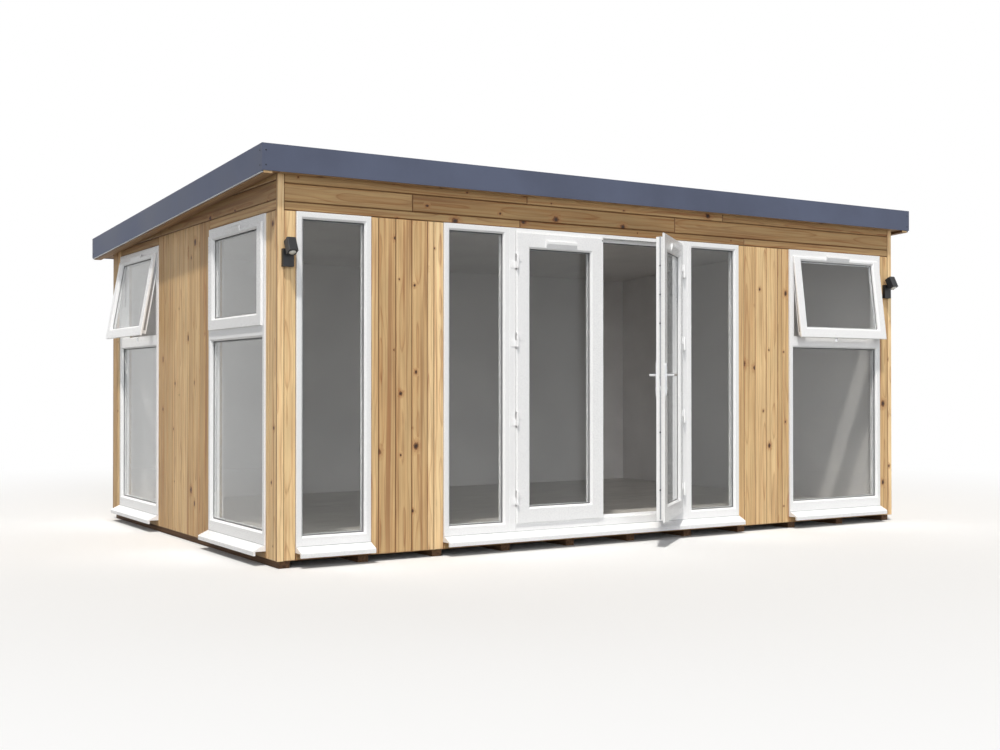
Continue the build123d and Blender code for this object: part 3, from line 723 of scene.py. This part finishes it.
def course(shape, face, run, v):
    """One level course of boards, butt-jointed where a board ends. Its dark tones are painted
    shade.
    """
    line = roof_line(face)
    start = run[0]
    first = chance.uniform(*FIRST_PLANK)
    while start < run[1] - HAIR:
        stop = start + (first if start == run[0] else chance.uniform(*PLANK_LENGTH))
        if run[1] - stop < SHORTEST_PLANK:
            stop = run[1]
        outline = below(box_outline((start, stop), v), line)
        if len(outline) > 2 and max(top for u, top in outline) - v[0] > LOWEST_COURSE:
            # Dark tones: painted shade under the eaves or under a sill
            plank(
                shape, face, outline, BOARD_THICKNESS, V_EDGE, upright=False,
                tones=PAINTED_SHADE_BOARD,
            )
        start = stop


under_sills = (boards_foot, frame_foot - SILL_BODY)
narrow = run_on(front, "narrow_window_frame")
door_set = (run_on(front, "left_sidelight_frame")[0], run_on(front, "right_sidelight_frame")[1])
casement = run_on(front, "front_casement_frame")
side_window_1 = run_on(left, "side_front_casement_frame")
side_window_2 = run_on(left, "side_back_casement_frame")

front_boards = Shape()
front_run = (left_end + TRIM, right_end - TRIM)
wall_foot = (boards_foot, FRIEZE_FOOT)
for runs in (
    [(front_run[0], narrow[0])], steps(narrow[1], WIDE_PIERS[0]),
    steps(door_set[1], WIDE_PIERS[1]), [(casement[1], front_run[1])],
):
    uprights(front_boards, front, runs, wall_foot)
for levels in zip((FRIEZE_FOOT,) + FRIEZE_LINES, FRIEZE_LINES + (ABOVE_ROOF,)):
    course(front_boards, front, front_run, levels)
for run in (narrow, door_set, casement):
    course(front_boards, front, run, under_sills)
front_boards.piece("front_boards", pine, replaces=("front_cladding",), slot="cladding_pine")

side_start, side_end = BOARD_THICKNESS - back_y, -front_y - BOARD_THICKNESS
side_joint = side_window_1[1] + CUT_BOARD
side_levels = (boards_foot, SIDE_FRIEZE_LINE)
side_frieze = (
    (SIDE_FRIEZE_LINE, SIDE_FRIEZE_LINE + BOARD), (SIDE_FRIEZE_LINE + BOARD, ABOVE_ROOF),
)
left_boards = Shape()
for runs, levels, tones in (
    # Painted light: the strip by the front corner takes pale tones, as if lit like the front
    ([(side_window_1[1], side_joint), (side_joint, side_end)], wall_foot, PALE_BOARD),
    # Painted shade: the rest of the left wall takes darker tones, partly tanned wood
    (spread(side_window_2[1], side_window_1[0]), side_levels, TANNED_AND_PAINTED_SHADE_BOARD),
    (spread(side_start, side_window_2[0]), side_levels, TANNED_AND_PAINTED_SHADE_BOARD),
):
    uprights(left_boards, left, runs, levels, tones)
course(left_boards, left, side_window_2, (frame_top, SIDE_FRIEZE_LINE))
course(left_boards, left, (side_window_1[0], side_end), (FRIEZE_FOOT, SIDE_FRIEZE_LINE))
for levels in side_frieze:
    course(left_boards, left, (side_start, side_end), levels)
for run in (side_window_1, side_window_2):
    course(left_boards, left, run, under_sills)
left_boards.piece("left_boards", pine, replaces=("left_cladding",), slot="cladding_pine")

right_boards = Shape()
uprights(right_boards, right, spread(-side_end, -side_start), side_levels)
for levels in side_frieze:
    course(right_boards, right, (-side_end, -side_start), levels)
right_boards.piece("right_boards", pine, replaces=("right_cladding",), slot="cladding_pine")

back_boards = Shape()
to_the_roof = (boards_foot, ABOVE_ROOF)
uprights(back_boards, back, spread(-right_end + TRIM, -left_end - TRIM), to_the_roof)
back_boards.piece("back_boards", pine, replaces=("back_cladding",), slot="cladding_pine")

trims = Shape()
for wall in (front, back):
    uprights(
        trims, wall, ((-right_end, -right_end + TRIM), (right_end - TRIM, right_end)),
        to_the_roof, PALE_BOARD, TRIM_EDGE,
    )
trims.piece("corner_battens", pine, replaces=("corner_trims",), slot="cladding_pine")


# ---------------------------------------------------------------- soffit and roof edge

SOFFIT_THICKNESS = 12 * MM
SOFFIT_EDGE = 1.5 * MM
SOFFIT_END_GAP = 1 * MM
EAVES_BATTEN = mm(60, 20)
soffit_low, soffit_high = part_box("soffit_boards")


def under_eaves(w):
    """The sloping underside at the eaves: u runs to the back, v across and w down."""
    return Face((0, 0, under_roof(0)), down_roof, (1, 0, 0)).moved(w=w)


def along_roof(low_y, high_y):
    """Stretch along the roof's slope between two places from front to back."""
    return low_y / down_roof.y, high_y / down_roof.y


soffit = Shape()
soffit_face = under_eaves(SOFFIT_THICKNESS)
batten_face = under_eaves(SOFFIT_THICKNESS + EAVES_BATTEN[1])
roof_run = along_roof(soffit_low.y, soffit_high.y)
for sides, batten_x in (
    ((soffit_low.x, left_end), soffit_low.x),
    ((right_end, soffit_high.x), soffit_high.x - EAVES_BATTEN[0]),
):
    for run in steps(roof_run[0], [(roof_run[1] - roof_run[0]) / 2] * 2):
        plank(
            soffit, soffit_face, box_outline(run, sides), SOFFIT_THICKNESS, SOFFIT_EDGE,
            upright=False,
        )
    plank(
        soffit, batten_face, box_outline(roof_run, (batten_x, batten_x + EAVES_BATTEN[0])),
        EAVES_BATTEN[1], TRIM_EDGE, upright=False,
    )
soffit_third = (right_end - left_end - 2 * SOFFIT_END_GAP) / 3
for ends in ((soffit_low.y, front_y), (back_y, soffit_high.y)):
    for run in steps(left_end + SOFFIT_END_GAP, [soffit_third] * 3):
        plank(
            soffit, soffit_face, box_outline(along_roof(*ends), run), SOFFIT_THICKNESS,
            SOFFIT_EDGE,
        )
soffit.piece("soffit_planks", soffit_timber, replaces=("soffit_boards",), slot="soffit_pine")


# ---------------------------------------------------------------- glass units and gaskets

SPACER = mm(0.5, 9)
GASKET = mm(0.2, 2.8)
GASKET_THICKNESS = 2.5 * MM
SHEET_EDGE = 0.4 * MM


def glazing(name, panes, body, node):
    """Sealed units: two sheets with a pale warm-edge spacer between, held by a thin gasket each
    side. Each pane is (face, light, setback)."""
    sheets, spacers, gaskets = Shape(), Shape(), Shape()
    for face, light, setback in panes:
        outside, inside = -setback, -setback - UNIT_THICKNESS
        for w in (outside - SHEET, inside):
            bar(sheets, face, *light, (w, w + SHEET), SHEET_EDGE)
        strip_round(spacers, face, light, SPACER, (outside - SHEET, inside + SHEET))
        strip_round(gaskets, face, light, GASKET, (outside + GASKET_THICKNESS, outside))
        strip_round(gaskets, face, light, GASKET, (inside, inside - GASKET_THICKNESS))
    sheets.piece(name, glass, body, (node,), slot="window_glass")
    spacers.piece(name + "_spacers", warm_edge, body, slot="white_upvc")
    gaskets.piece(name + "_gaskets", gasket_rubber, body, slot="lamp_black")


fixed_panes = [(front_frames, fixed_light(node), GLASS_SETBACK) for node in FIXED_FRAMES]
sash_panes = []
for window in CASEMENTS:
    window_face, lower_light, sash, sash_light = casement_lights(window)
    fixed_panes.append((window_face, lower_light, GLASS_SETBACK))
    sash_panes.append((sash, sash_light, SASH_DEPTH - UNIT_THICKNESS))
glazing("fixed_units", fixed_panes, "building", "fixed_glass")
glazing("sash_units", sash_panes, "building", "sash_glass")
for door, (hand, leaf) in LEAVES.items():
    glazing(door + "_unit", [(leaf, leaf_light(hand), GLASS_SETBACK)], door, door + "_glass")


# ---------------------------------------------------------------- small metal and rubber pieces

# Strips and blocks are given by their sizes, with the eased edge last. Screws and studs are
# sunk a little into what they stand on, and so are thin lines of plastic.
SUNK = 0.5 * MM
LINE_SUNK = 0.3 * MM

# Fascia corners: two round-headed screws through each face. The side fascia's back end is
# lower by the roof's fall.
CORNER_SCREW_INSET = 25 * MM
CORNER_SCREW_LEVELS = mm(43, 133)
SCREW = ((5 * MM, -SUNK), mm(5, 0.6), mm(4, 1.7), mm(2, 2.5))
fascia_low, fascia_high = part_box("front_fascia")
side_low, side_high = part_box("left_fascia")
front_edge = Face((0, fascia_low.y, 0), (1, 0, 0))
side_edge = Face((side_low.x, 0, 0), (0, -1, 0))
side_drop = (side_high.y - side_low.y) * ROOF_FALL
fascia_screws = Shape()
for edge_face, u, drop in (
    (front_edge, fascia_low.x + CORNER_SCREW_INSET, 0.0),
    (front_edge, fascia_high.x - CORNER_SCREW_INSET, 0.0),
    (side_edge, -side_low.y - CORNER_SCREW_INSET, 0.0),
    (side_edge, CORNER_SCREW_INSET - side_high.y, side_drop),
):
    for level in CORNER_SCREW_LEVELS:
        place = edge_face.at(u, fascia_high.z - level - drop)
        turned(fascia_screws, place, edge_face.out, SCREW, sides=12)
fascia_screws.piece("fascia_screws", dark_screw, slot="handle_steel", smooth=True)

# A pale drip edge under the side fascias
DRIP = mm(12, 4, 1)
DRIP_SEAT = 0.2 * MM
FASCIA_DROP = 24 * MM
drips = Shape()
for x in (side_low.x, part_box("right_fascia")[1].x - DRIP[0]):
    bar(drips, under_eaves(FASCIA_DROP), along_roof(side_low.y, side_high.y), (x, x + DRIP[0]),
        (DRIP_SEAT, DRIP[1]), DRIP[2])
drips.piece("drip_edges", drip_metal, slot="fascia_metal")

# Lamp heads: a bezel and a bulging lens at the open end of each
LIGHT_TILT = math.radians(27.0)
LIGHT_REACH = 68 * MM
LIGHT_LIFT = 68 * MM
LIGHT_CENTRE = 1915 * MM
LIGHT_BOX = 72 * MM
HEAD_LENGTH = 92 * MM
LENS = 22 * MM
LENS_PROFILE = (
    (LENS, -3.8 * MM), (LENS, 0.0), (LENS * 0.93, 3 * MM), (LENS * 0.75, 6 * MM),
    (LENS * 0.45, 8.2 * MM), mm(1, 9),
)
BEZEL_PROFILE = (
    (LENS + 3.5 * MM, -0.2 * MM), (LENS + 3.5 * MM, 1.5 * MM), (LENS + 2 * MM, 2 * MM),
    (LENS + 0.2 * MM, 0.4 * MM),
)
lamp_down = Vector((0, -math.sin(LIGHT_TILT), -math.cos(LIGHT_TILT)))
lenses, bezels = Shape(), Shape()
light_low, light_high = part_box("wall_lights")
for x in (light_low.x + LIGHT_BOX / 2, light_high.x - LIGHT_BOX / 2):
    mouth = front.at(x, LIGHT_CENTRE + LIGHT_LIFT, LIGHT_REACH) + lamp_down * (HEAD_LENGTH / 2)
    turned(lenses, mouth, lamp_down, LENS_PROFILE, sides=32)
    turned(bezels, mouth, lamp_down, BEZEL_PROFILE, sides=32)
lenses.piece("lamp_lenses", lens_glass, slot="lamp_black", smooth=True)
bezels.piece("lamp_bezels", lamp_black_coat, slot="lamp_black", smooth=True)

# Lock strip in the right leaf's lock edge, with its bolts, the latch and the dead bolt
BODY_INSET = 20 * MM
GROOVE_DEPTH = 8 * MM
GROOVE_MIDDLE = 36 * MM
HANDLE_HEIGHT = 1202 * MM
STRIP = mm(11, 2, 0.5)
STRIP_SEAT = 0.2 * MM
STRIP_END = 16 * MM
BOLT = ((3.5 * MM, -SUNK), mm(3.5, 6), mm(5.5, 6.5), mm(5.5, 12), mm(4.5, 13))
BOLT_LEVELS = [leaf_foot + up * MM for up in (220, 620)]
BOLT_LEVELS += [leaf_head - down * MM for down in (620, 420, 220)]
LATCH_WIDTH = 9 * MM
# Foot and head from the handle's height, how far it stands out, and its eased edge
LATCHES = (mm(-16, 16, 16, 4), mm(-108, -76, 9, 1))
right_leaf = LEAVES["right_door"][1]
lock_u = -(LEAF_GAP / 2 + LEAF_WIDTH - BODY_INSET - GROOVE_DEPTH)
lock_edge = Face(right_leaf.at(lock_u, 0, -GROOVE_MIDDLE), right_leaf.out)
strip, bolts, latch = Shape(), Shape(), Shape()
bar(strip, lock_edge, (-STRIP[0] / 2, STRIP[0] / 2),
    (leaf_foot + STRIP_END, leaf_head - STRIP_END), (STRIP_SEAT, STRIP[1]), STRIP[2])
for level in BOLT_LEVELS:
    turned(bolts, lock_edge.at(0, level, STRIP[1]), lock_edge.out, BOLT)
for foot, head, proud, eased in LATCHES:
    bar(latch, lock_edge, (-LATCH_WIDTH / 2, LATCH_WIDTH / 2),
        (HANDLE_HEIGHT + foot, HANDLE_HEIGHT + head), (STRIP[1], proud), eased)
strip.piece("lock_strip", galvanised, "right_door", slot="handle_steel")
bolts.piece("lock_bolts", dark_screw, "right_door", slot="handle_steel", smooth=True)
latch.piece("lock_latch", plated_steel, "right_door", slot="handle_steel")

# Screw caps at both ends of the two handle plates
PLATE_MIDDLE = HANDLE_HEIGHT - 31 * MM
PLATE_SCREW_REACH = 100 * MM
PLATE_THICKNESS = 8 * MM
BACKSET = 54 * MM
CAP = ((5 * MM, -SUNK), mm(5, 0.8), mm(4, 1.6), mm(1, 2))
lock_stile = LEAF_GAP / 2 + LEAF_WIDTH - BACKSET
inner_face = Face(right_leaf.at(0, 0, -LEAF_THICKNESS), -right_leaf.along)
caps = Shape()
for plate, u in ((right_leaf, -lock_stile), (inner_face, lock_stile)):
    for level in (PLATE_MIDDLE - PLATE_SCREW_REACH, PLATE_MIDDLE + PLATE_SCREW_REACH):
        turned(caps, plate.at(u, level, PLATE_THICKNESS), plate.out, CAP)
caps.piece("handle_screw_caps", dark_screw, "right_door", slot="handle_steel", smooth=True)

# White lips at the hinge edge, head and foot of each leaf cover its gap, and stop at the hinges
LIP = mm(6.5, 7, 0.5)
LIP_SETBACK = 6 * MM
LIP_LAP = 2 * MM
HINGE_LEVELS = mm(360, 900, 1440, 1980)
HINGE_ENDS = mm(60, 50)
lip_depth = (-LIP_SETBACK - LIP[1], -LIP_SETBACK)
lip_breaks = [leaf_foot]
for level in HINGE_LEVELS:
    lip_breaks += [level - HINGE_ENDS[0], level + HINGE_ENDS[1]]
lip_breaks.append(leaf_head - LIP_LAP)
for door, (hand, leaf) in LEAVES.items():
    lips = Shape()
    near, far, end = (
        hand * (LEAF_GAP / 2 + place) for place in (-LIP[0], LIP_LAP, LEAF_WIDTH)
    )
    for levels in zip(lip_breaks[::2], lip_breaks[1::2]):
        bar(lips, leaf, sorted((near, far)), levels, lip_depth, LIP[2])
    for levels in ((leaf_head - LIP_LAP, leaf_head + LIP[0]), (leaf_foot - LIP[0], leaf_foot)):
        bar(lips, leaf, sorted((near, end)), levels, lip_depth, LIP[2])
    lips.piece(door + "_lips", upvc, door, slot="white_upvc")

# A dark stud at the upper corner of the left leaf, where its shoot bolt comes through
STUD_INSET = mm(9, 17)
STUD = ((4.5 * MM, -SUNK), mm(4.5, 1), mm(3, 2), mm(1, 2.2))
left_leaf = LEAVES["left_door"][1]
stud = Shape()
turned(
    stud, left_leaf.at(LEAF_GAP / 2 + LEAF_WIDTH - STUD_INSET[0], leaf_head - STUD_INSET[1]),
    left_leaf.out, STUD,
)
stud.piece("shoot_bolt_stud", dark_screw, "left_door", slot="handle_steel", smooth=True)

# Black seals on the door stops, just clear of the shut leaves
SEAL = mm(7, 4, 1.5)
SEAL_SEAT = 0.1 * MM
STOP_BACK = 47 * MM
JAMB = 50 * MM
JAMB_STOP = 32 * MM
stop_face = front.moved(w=-STOP_BACK)
jamb_low, jamb_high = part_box("door_jambs")
between = (jamb_low.x + JAMB + JAMB_STOP, jamb_high.x - JAMB - JAMB_STOP)
head_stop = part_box("door_head")[0].z
foot_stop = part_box("door_threshold")[1].z
seals = Shape()
for u, v in (
    ((between[0] - SEAL[0], between[0]), (foot_stop, head_stop)),
    ((between[1], between[1] + SEAL[0]), (foot_stop, head_stop)),
    (between, (head_stop, head_stop + SEAL[0])),
):
    bar(seals, stop_face, u, v, (SEAL_SEAT, SEAL[1]), SEAL[2])
seals.piece("door_seals", gasket_rubber, slot="lamp_black")

# Welded laps in the roof membrane
LAP = mm(45, 1.6, 0.8)
LAP_SUNK = 0.4 * MM
LAP_END = 10 * MM
LAST_STRIP = 0.3
SHEET_WIDTH = 1.42
ROOF_DEPTH = 137.2 * MM
membrane_low, membrane_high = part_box("roof_membrane")
roof_top = Face((0, 0, under_roof(0) + ROOF_DEPTH), (1, 0, 0), down_roof)
laps = Shape()
lap_x = membrane_low.x + SHEET_WIDTH
while lap_x < membrane_high.x - LAST_STRIP:
    bar(laps, roof_top, (lap_x, lap_x + LAP[0]),
        along_roof(membrane_low.y + LAP_END, membrane_high.y - LAP_END),
        (-LAP_SUNK, LAP[1]), LAP[2])
    lap_x += SHEET_WIDTH
laps.piece("membrane_laps", rubber_roof, slot="roof_membrane")

# The sashes that stand open: a stay's track on each side of the opening, a steel rail down each
# side of the sash, and the keep of its catch on the transom
STAY = mm(16, 2.5, 0.5)
STAY_SEAT = 0.2 * MM
STAY_TRACK = mm(360, 20)
STAY_SETBACK = 45 * MM
KEEP = mm(11, 15, 9, 3)
KEEP_DROP = 22 * MM
SASH_CORE_GAP = 5 * MM
SASH_RAIL_STRIP = mm(1.5, 16, 0.4)
SASH_RAIL_ENDS = mm(30, 24)
rebate_top = frame_top - CASEMENT_HEAD_FACE
stay_levels = (rebate_top - STAY_TRACK[0], rebate_top - STAY_TRACK[1])
rail_w = -(SASH_LIP_THICKNESS + SASH_DEPTH + SASH_RAIL_STRIP[1]) / 2
keep_level = frame_foot + TRANSOM[1] - KEEP_DROP
stays, keeps, sash_rails = Shape(), Shape(), Shape()
for window in [window for window, (face, tilt) in CASEMENTS.items() if tilt]:
    window_face, (across, lower), sash, sash_light = casement_lights(window)
    sash_foot = sash_light[1][0] - SASH_FOOT_RAIL
    for side, inward in ((across[0], 1), (across[1], -1)):
        bar(stays, window_face, sorted((side + inward * STAY_SEAT, side + inward * STAY[1])),
            stay_levels, (-STAY_SETBACK, STAY[0] - STAY_SETBACK), STAY[2])
        core = side + inward * SASH_CORE_GAP
        bar(sash_rails, sash, sorted((core - inward * SASH_RAIL_STRIP[0], core)),
            (sash_foot + SASH_RAIL_ENDS[0], -SASH_LIP - SASH_RAIL_ENDS[1]),
            (rail_w, rail_w + SASH_RAIL_STRIP[1]), SASH_RAIL_STRIP[2])
    middle = sum(across) / 2
    bar(keeps, window_face, (middle - KEEP[0], middle + KEEP[0]),
        (keep_level - KEEP[1], keep_level + KEEP[1]), (-SUNK, KEEP[2]), KEEP[3])
stays.piece("sash_stays", plated_steel, slot="handle_steel")
sash_rails.piece("sash_rails", galvanised, slot="handle_steel")
keeps.piece("sash_keeps", plated_steel, slot="handle_steel")

# Weld lines, where the mitred plastic sections of frames and leaves melt together
WELD = mm(0.8, 0.35)
WELD_ENDS = (BEAD + 3 * MM, 5 * MM)


def corner_welds(shape, face, light, side, foot, head=0.0):
    """Weld lines from a light's corners to the corners of its frame. A frame without a
    head, such as the lower part of a casement, has none up there."""
    (u0, u1), (v0, v1) = light
    corners = [(u0, -side, v0, -foot), (u1, side, v0, -foot)]
    if head:
        corners += [(u0, -side, v1, head), (u1, side, v1, head)]
    for u, reach_u, v, reach_v in corners:
        run = Vector((reach_u, reach_v))
        narrower = min(abs(reach_u), abs(reach_v))
        near, far = WELD_ENDS[0] / narrower, 1 - WELD_ENDS[1] / narrower
        line = Face(
            face.at(u + run.x * near, v + run.y * near),
            face.along * run.x + face.up * run.y, face.up * run.x - face.along * run.y,
        )
        bar(shape, line, (0, run.length * (far - near)), (-WELD[0], WELD[0]),
            (-LINE_SUNK, WELD[1]))


frame_welds = Shape()
for node in FIXED_FRAMES:
    corner_welds(
        frame_welds, front_frames, fixed_light(node), FRAME_FACE, FRAME_FOOT_FACE, FRAME_FACE
    )
for window in CASEMENTS:
    corner_welds(frame_welds, *casement_lights(window)[:2], FRAME_FACE, CASEMENT_FOOT_FACE)
frame_welds.piece("frame_welds", upvc, slot="white_upvc")
for door, (hand, leaf) in LEAVES.items():
    leaf_welds = Shape()
    corner_welds(leaf_welds, leaf, leaf_light(hand), LEAF_RAIL, LEAF_RAIL, LEAF_RAIL)
    leaf_welds.piece(door + "_welds", upvc, door, slot="white_upvc")

# A thin grey bead of silicone seals the foot of every frame to its sill
SILICONE = mm(2.2, 0.6, 0.4)
seal_beads = Shape()
for frames_face, runs in (
    (front_frames, (narrow, door_set, casement)), (left_frames, (side_window_1, side_window_2)),
):
    for run in runs:
        bar(seal_beads, frames_face, run, (frame_foot, frame_foot + SILICONE[0]),
            (-LINE_SUNK, SILICONE[1]), SILICONE[2])
seal_beads.piece("sill_seals", seal_grey, slot="white_upvc")

# Sawn ends of the eaves battens, pale, under the front and back fascias
BATTEN_END = 1.2 * MM
BATTEN_END_EDGE = 0.6 * MM
batten_half = EAVES_BATTEN[0] / 2
batten_ends = Shape()
for y, hand in ((soffit_low.y, 1), (soffit_high.y, -1)):
    end_face = Face((0, y, 0), (hand, 0, 0)).moved(w=BATTEN_END)
    head = under_roof(y) - SOFFIT_THICKNESS
    for middle in (soffit_low.x + batten_half, soffit_high.x - batten_half):
        u = hand * middle
        plank(
            batten_ends, end_face,
            box_outline((u - batten_half, u + batten_half), (head - EAVES_BATTEN[1], head)),
            BATTEN_END, BATTEN_END_EDGE, upright=False, tones=PALE_BOARD,
        )
batten_ends.piece("batten_ends", pine, slot="soffit_pine")


# ---------------------------------------------------------------- floor inside

LAMINATE_PLANK = mm(192, 1285)
LAMINATE_EDGE = 0.6 * MM
# The first plank of each row in turn, as a share of a whole one
LAMINATE_STAGGER = [0.35 + 0.33 * turn for turn in range(3)]
SHORTEST_LAMINATE = 0.15
floor_low, floor_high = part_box("floor_finish")
floor_face = Face((0, 0, floor_high.z), (1, 0, 0), (0, 1, 0))
laid = Shape()
row_start = floor_low.y
row = 0
while row_start < floor_high.y - HAIR:
    row_end = min(row_start + LAMINATE_PLANK[0], floor_high.y)
    start = floor_low.x
    stop = start + LAMINATE_PLANK[1] * LAMINATE_STAGGER[row % 3]
    while start < floor_high.x - HAIR:
        stop = floor_high.x if floor_high.x - stop < SHORTEST_LAMINATE else stop
        plank(
            laid, floor_face, box_outline((start, stop), (row_start, row_end)),
            floor_high.z - floor_low.z, LAMINATE_EDGE, upright=False,
        )
        start, stop = stop, stop + LAMINATE_PLANK[1]
    row_start = row_end
    row += 1
laid.piece("laminate_floor", laminate, replaces=("floor_finish",), slot="floor_laminate")


# ---------------------------------------------------------------- finishes of the solids

def dress(coat, *nodes):
    """Gives a finish to solids that keep their shape."""
    for name in nodes:
        node = frame["nodes"][name]
        node.data.materials.clear()
        node.data.materials.append(coat)


dress(sawn_bearer, "floor_bearers")
dress(sawn_joist, "floor_joists")
dress(board_panel, "floor_deck", "front_wall_piers", "front_wall_header", "left_wall_piers",
      "left_wall_header", "right_wall", "back_wall", "roof_panel")
dress(painted_wall, "wall_lining", "ceiling_lining")
dress(rubber_roof, "roof_membrane")
dress(anthracite, "front_fascia", "back_fascia", "left_fascia", "right_fascia")
dress(upvc, *FIXED_FRAMES, "window_sills", "window_vents", "door_jambs", "door_head",
      "door_threshold", "left_door_leaf", "right_door_leaf", "left_door_hardware",
      "right_door_hardware", "frame_hinges")
for window in CASEMENTS:
    dress(upvc, window + "_frame", window + "_sash")
dress(plated_steel, "door_handles")
dress(lamp_black_coat, "wall_lights")


# ---------------------------------------------------------------- studio

FLOOR_REACH = 60.0
PAPER_FADE = (4.2, 9.5)
FILL = 0.17


def looked_at(tree):
    """Tells the rays that look at the studio: from the camera, off gloss and through glass."""
    rays = add(tree, "LightPath").outputs
    looks = rays["Is Camera Ray"]
    for kind in ("Is Glossy Ray", "Is Transmission Ray"):
        looks = add(tree, "Math", {0: looks, 1: rays[kind]}, operation="MAXIMUM")
    return looks


def studio_paper():
    """Seen paper is near white, keeps the pod's shadow, and fades to the backdrop's white with
    distance. What it throws back onto the pod is the light of a mid-grey sheet."""
    made, tree, shader = finish("studio_paper")
    join(tree, shader, {"Base Color": "#EDEDED", "Roughness": 0.95, "Specular IOR Level": 0.0})
    place = add(tree, "TexCoord").outputs["Object"]
    away = add(tree, "VectorMath", {0: place}, operation="LENGTH").outputs["Value"]
    fade = add(tree, "MapRange", {0: away, 1: PAPER_FADE[0], 2: PAPER_FADE[1]},
               interpolation_type="SMOOTHSTEP")
    white = add(tree, "Emission", {"Color": "#FFFFFF", "Strength": 1.0})
    seen = add(tree, "MixShader", {0: fade, 1: shader, 2: white})
    thrown = add(tree, "BsdfDiffuse", {"Color": "#8E8E8C"})
    both = add(tree, "MixShader", {0: looked_at(tree), 1: thrown, 2: seen})
    join(tree, tree.nodes["Material Output"], {"Surface": both})
    return made


floor_mesh = bpy.data.meshes.new("studio_floor")
sheet = (-FLOOR_REACH, FLOOR_REACH)
floor_mesh.from_pydata([(x, y, 0) for x, y in box_outline(sheet, sheet)], [], [range(4)])
floor_mesh.materials.append(studio_paper())
floor = into_scene("studio_floor", floor_mesh)

world = bpy.data.worlds.new("studio")
bpy.context.scene.world = world
world.use_nodes = True
sky = world.node_tree
sky.nodes.clear()
fill = add(sky, "Background", {"Color": "#E6EDF9", "Strength": FILL})
backdrop = add(sky, "Background", {"Color": "#FFFFFF", "Strength": 1.0})
around = add(sky, "MixShader", {0: looked_at(sky), 1: fill, 2: backdrop})
add(sky, "OutputWorld", {"Surface": around})

# The key stands high to the front and left, so the roof's edge shades the frieze. Two wide
# soft lamps near the horizon even out the front and the back. Each lamp has the side it
# stands on, its strength, its width in degrees and its tint.
LAMPS = (
    ("key", (-0.33, -0.38, 1.0), 2.62, 2.5, (1.0, 0.965, 0.91)),
    ("front_fill", (-0.4, -1.0, 0.18), 1.86, 60.0, (0.97, 0.985, 1.0)),
    ("back_fill", (0.55, 1.0, 0.25), 1.2, 80.0, (0.97, 0.985, 1.0)),
)
for lamp_name, lamp_from, strength, softness, tint in LAMPS:
    lamp = bpy.data.lights.new(lamp_name, "SUN")
    lamp.energy = strength
    lamp.angle = math.radians(softness)
    lamp.color = tint
    stand = into_scene(lamp_name, lamp)
    stand.rotation_euler = Vector(lamp_from).to_track_quat("Z", "Y").to_euler()

# The camera's turn is measured from straight at the front, and its rise from level
CAMERA_PLACE = (-5.767, -9.219, 1.125)
CAMERA_TURN = 32.07
CAMERA_RISE = 0.494
CAMERA_LENS = 46.16
camera = bpy.data.cameras.new("camera")
camera.lens = CAMERA_LENS
camera.sensor_width = 36.0
camera.sensor_fit = "HORIZONTAL"
camera.clip_end = 200.0
view = into_scene("camera", camera)
view.location = CAMERA_PLACE
view.rotation_euler = (math.radians(90 + CAMERA_RISE), 0, math.radians(-CAMERA_TURN))
bpy.context.scene.camera = view
bpy.context.scene.view_settings.view_transform = "Standard"
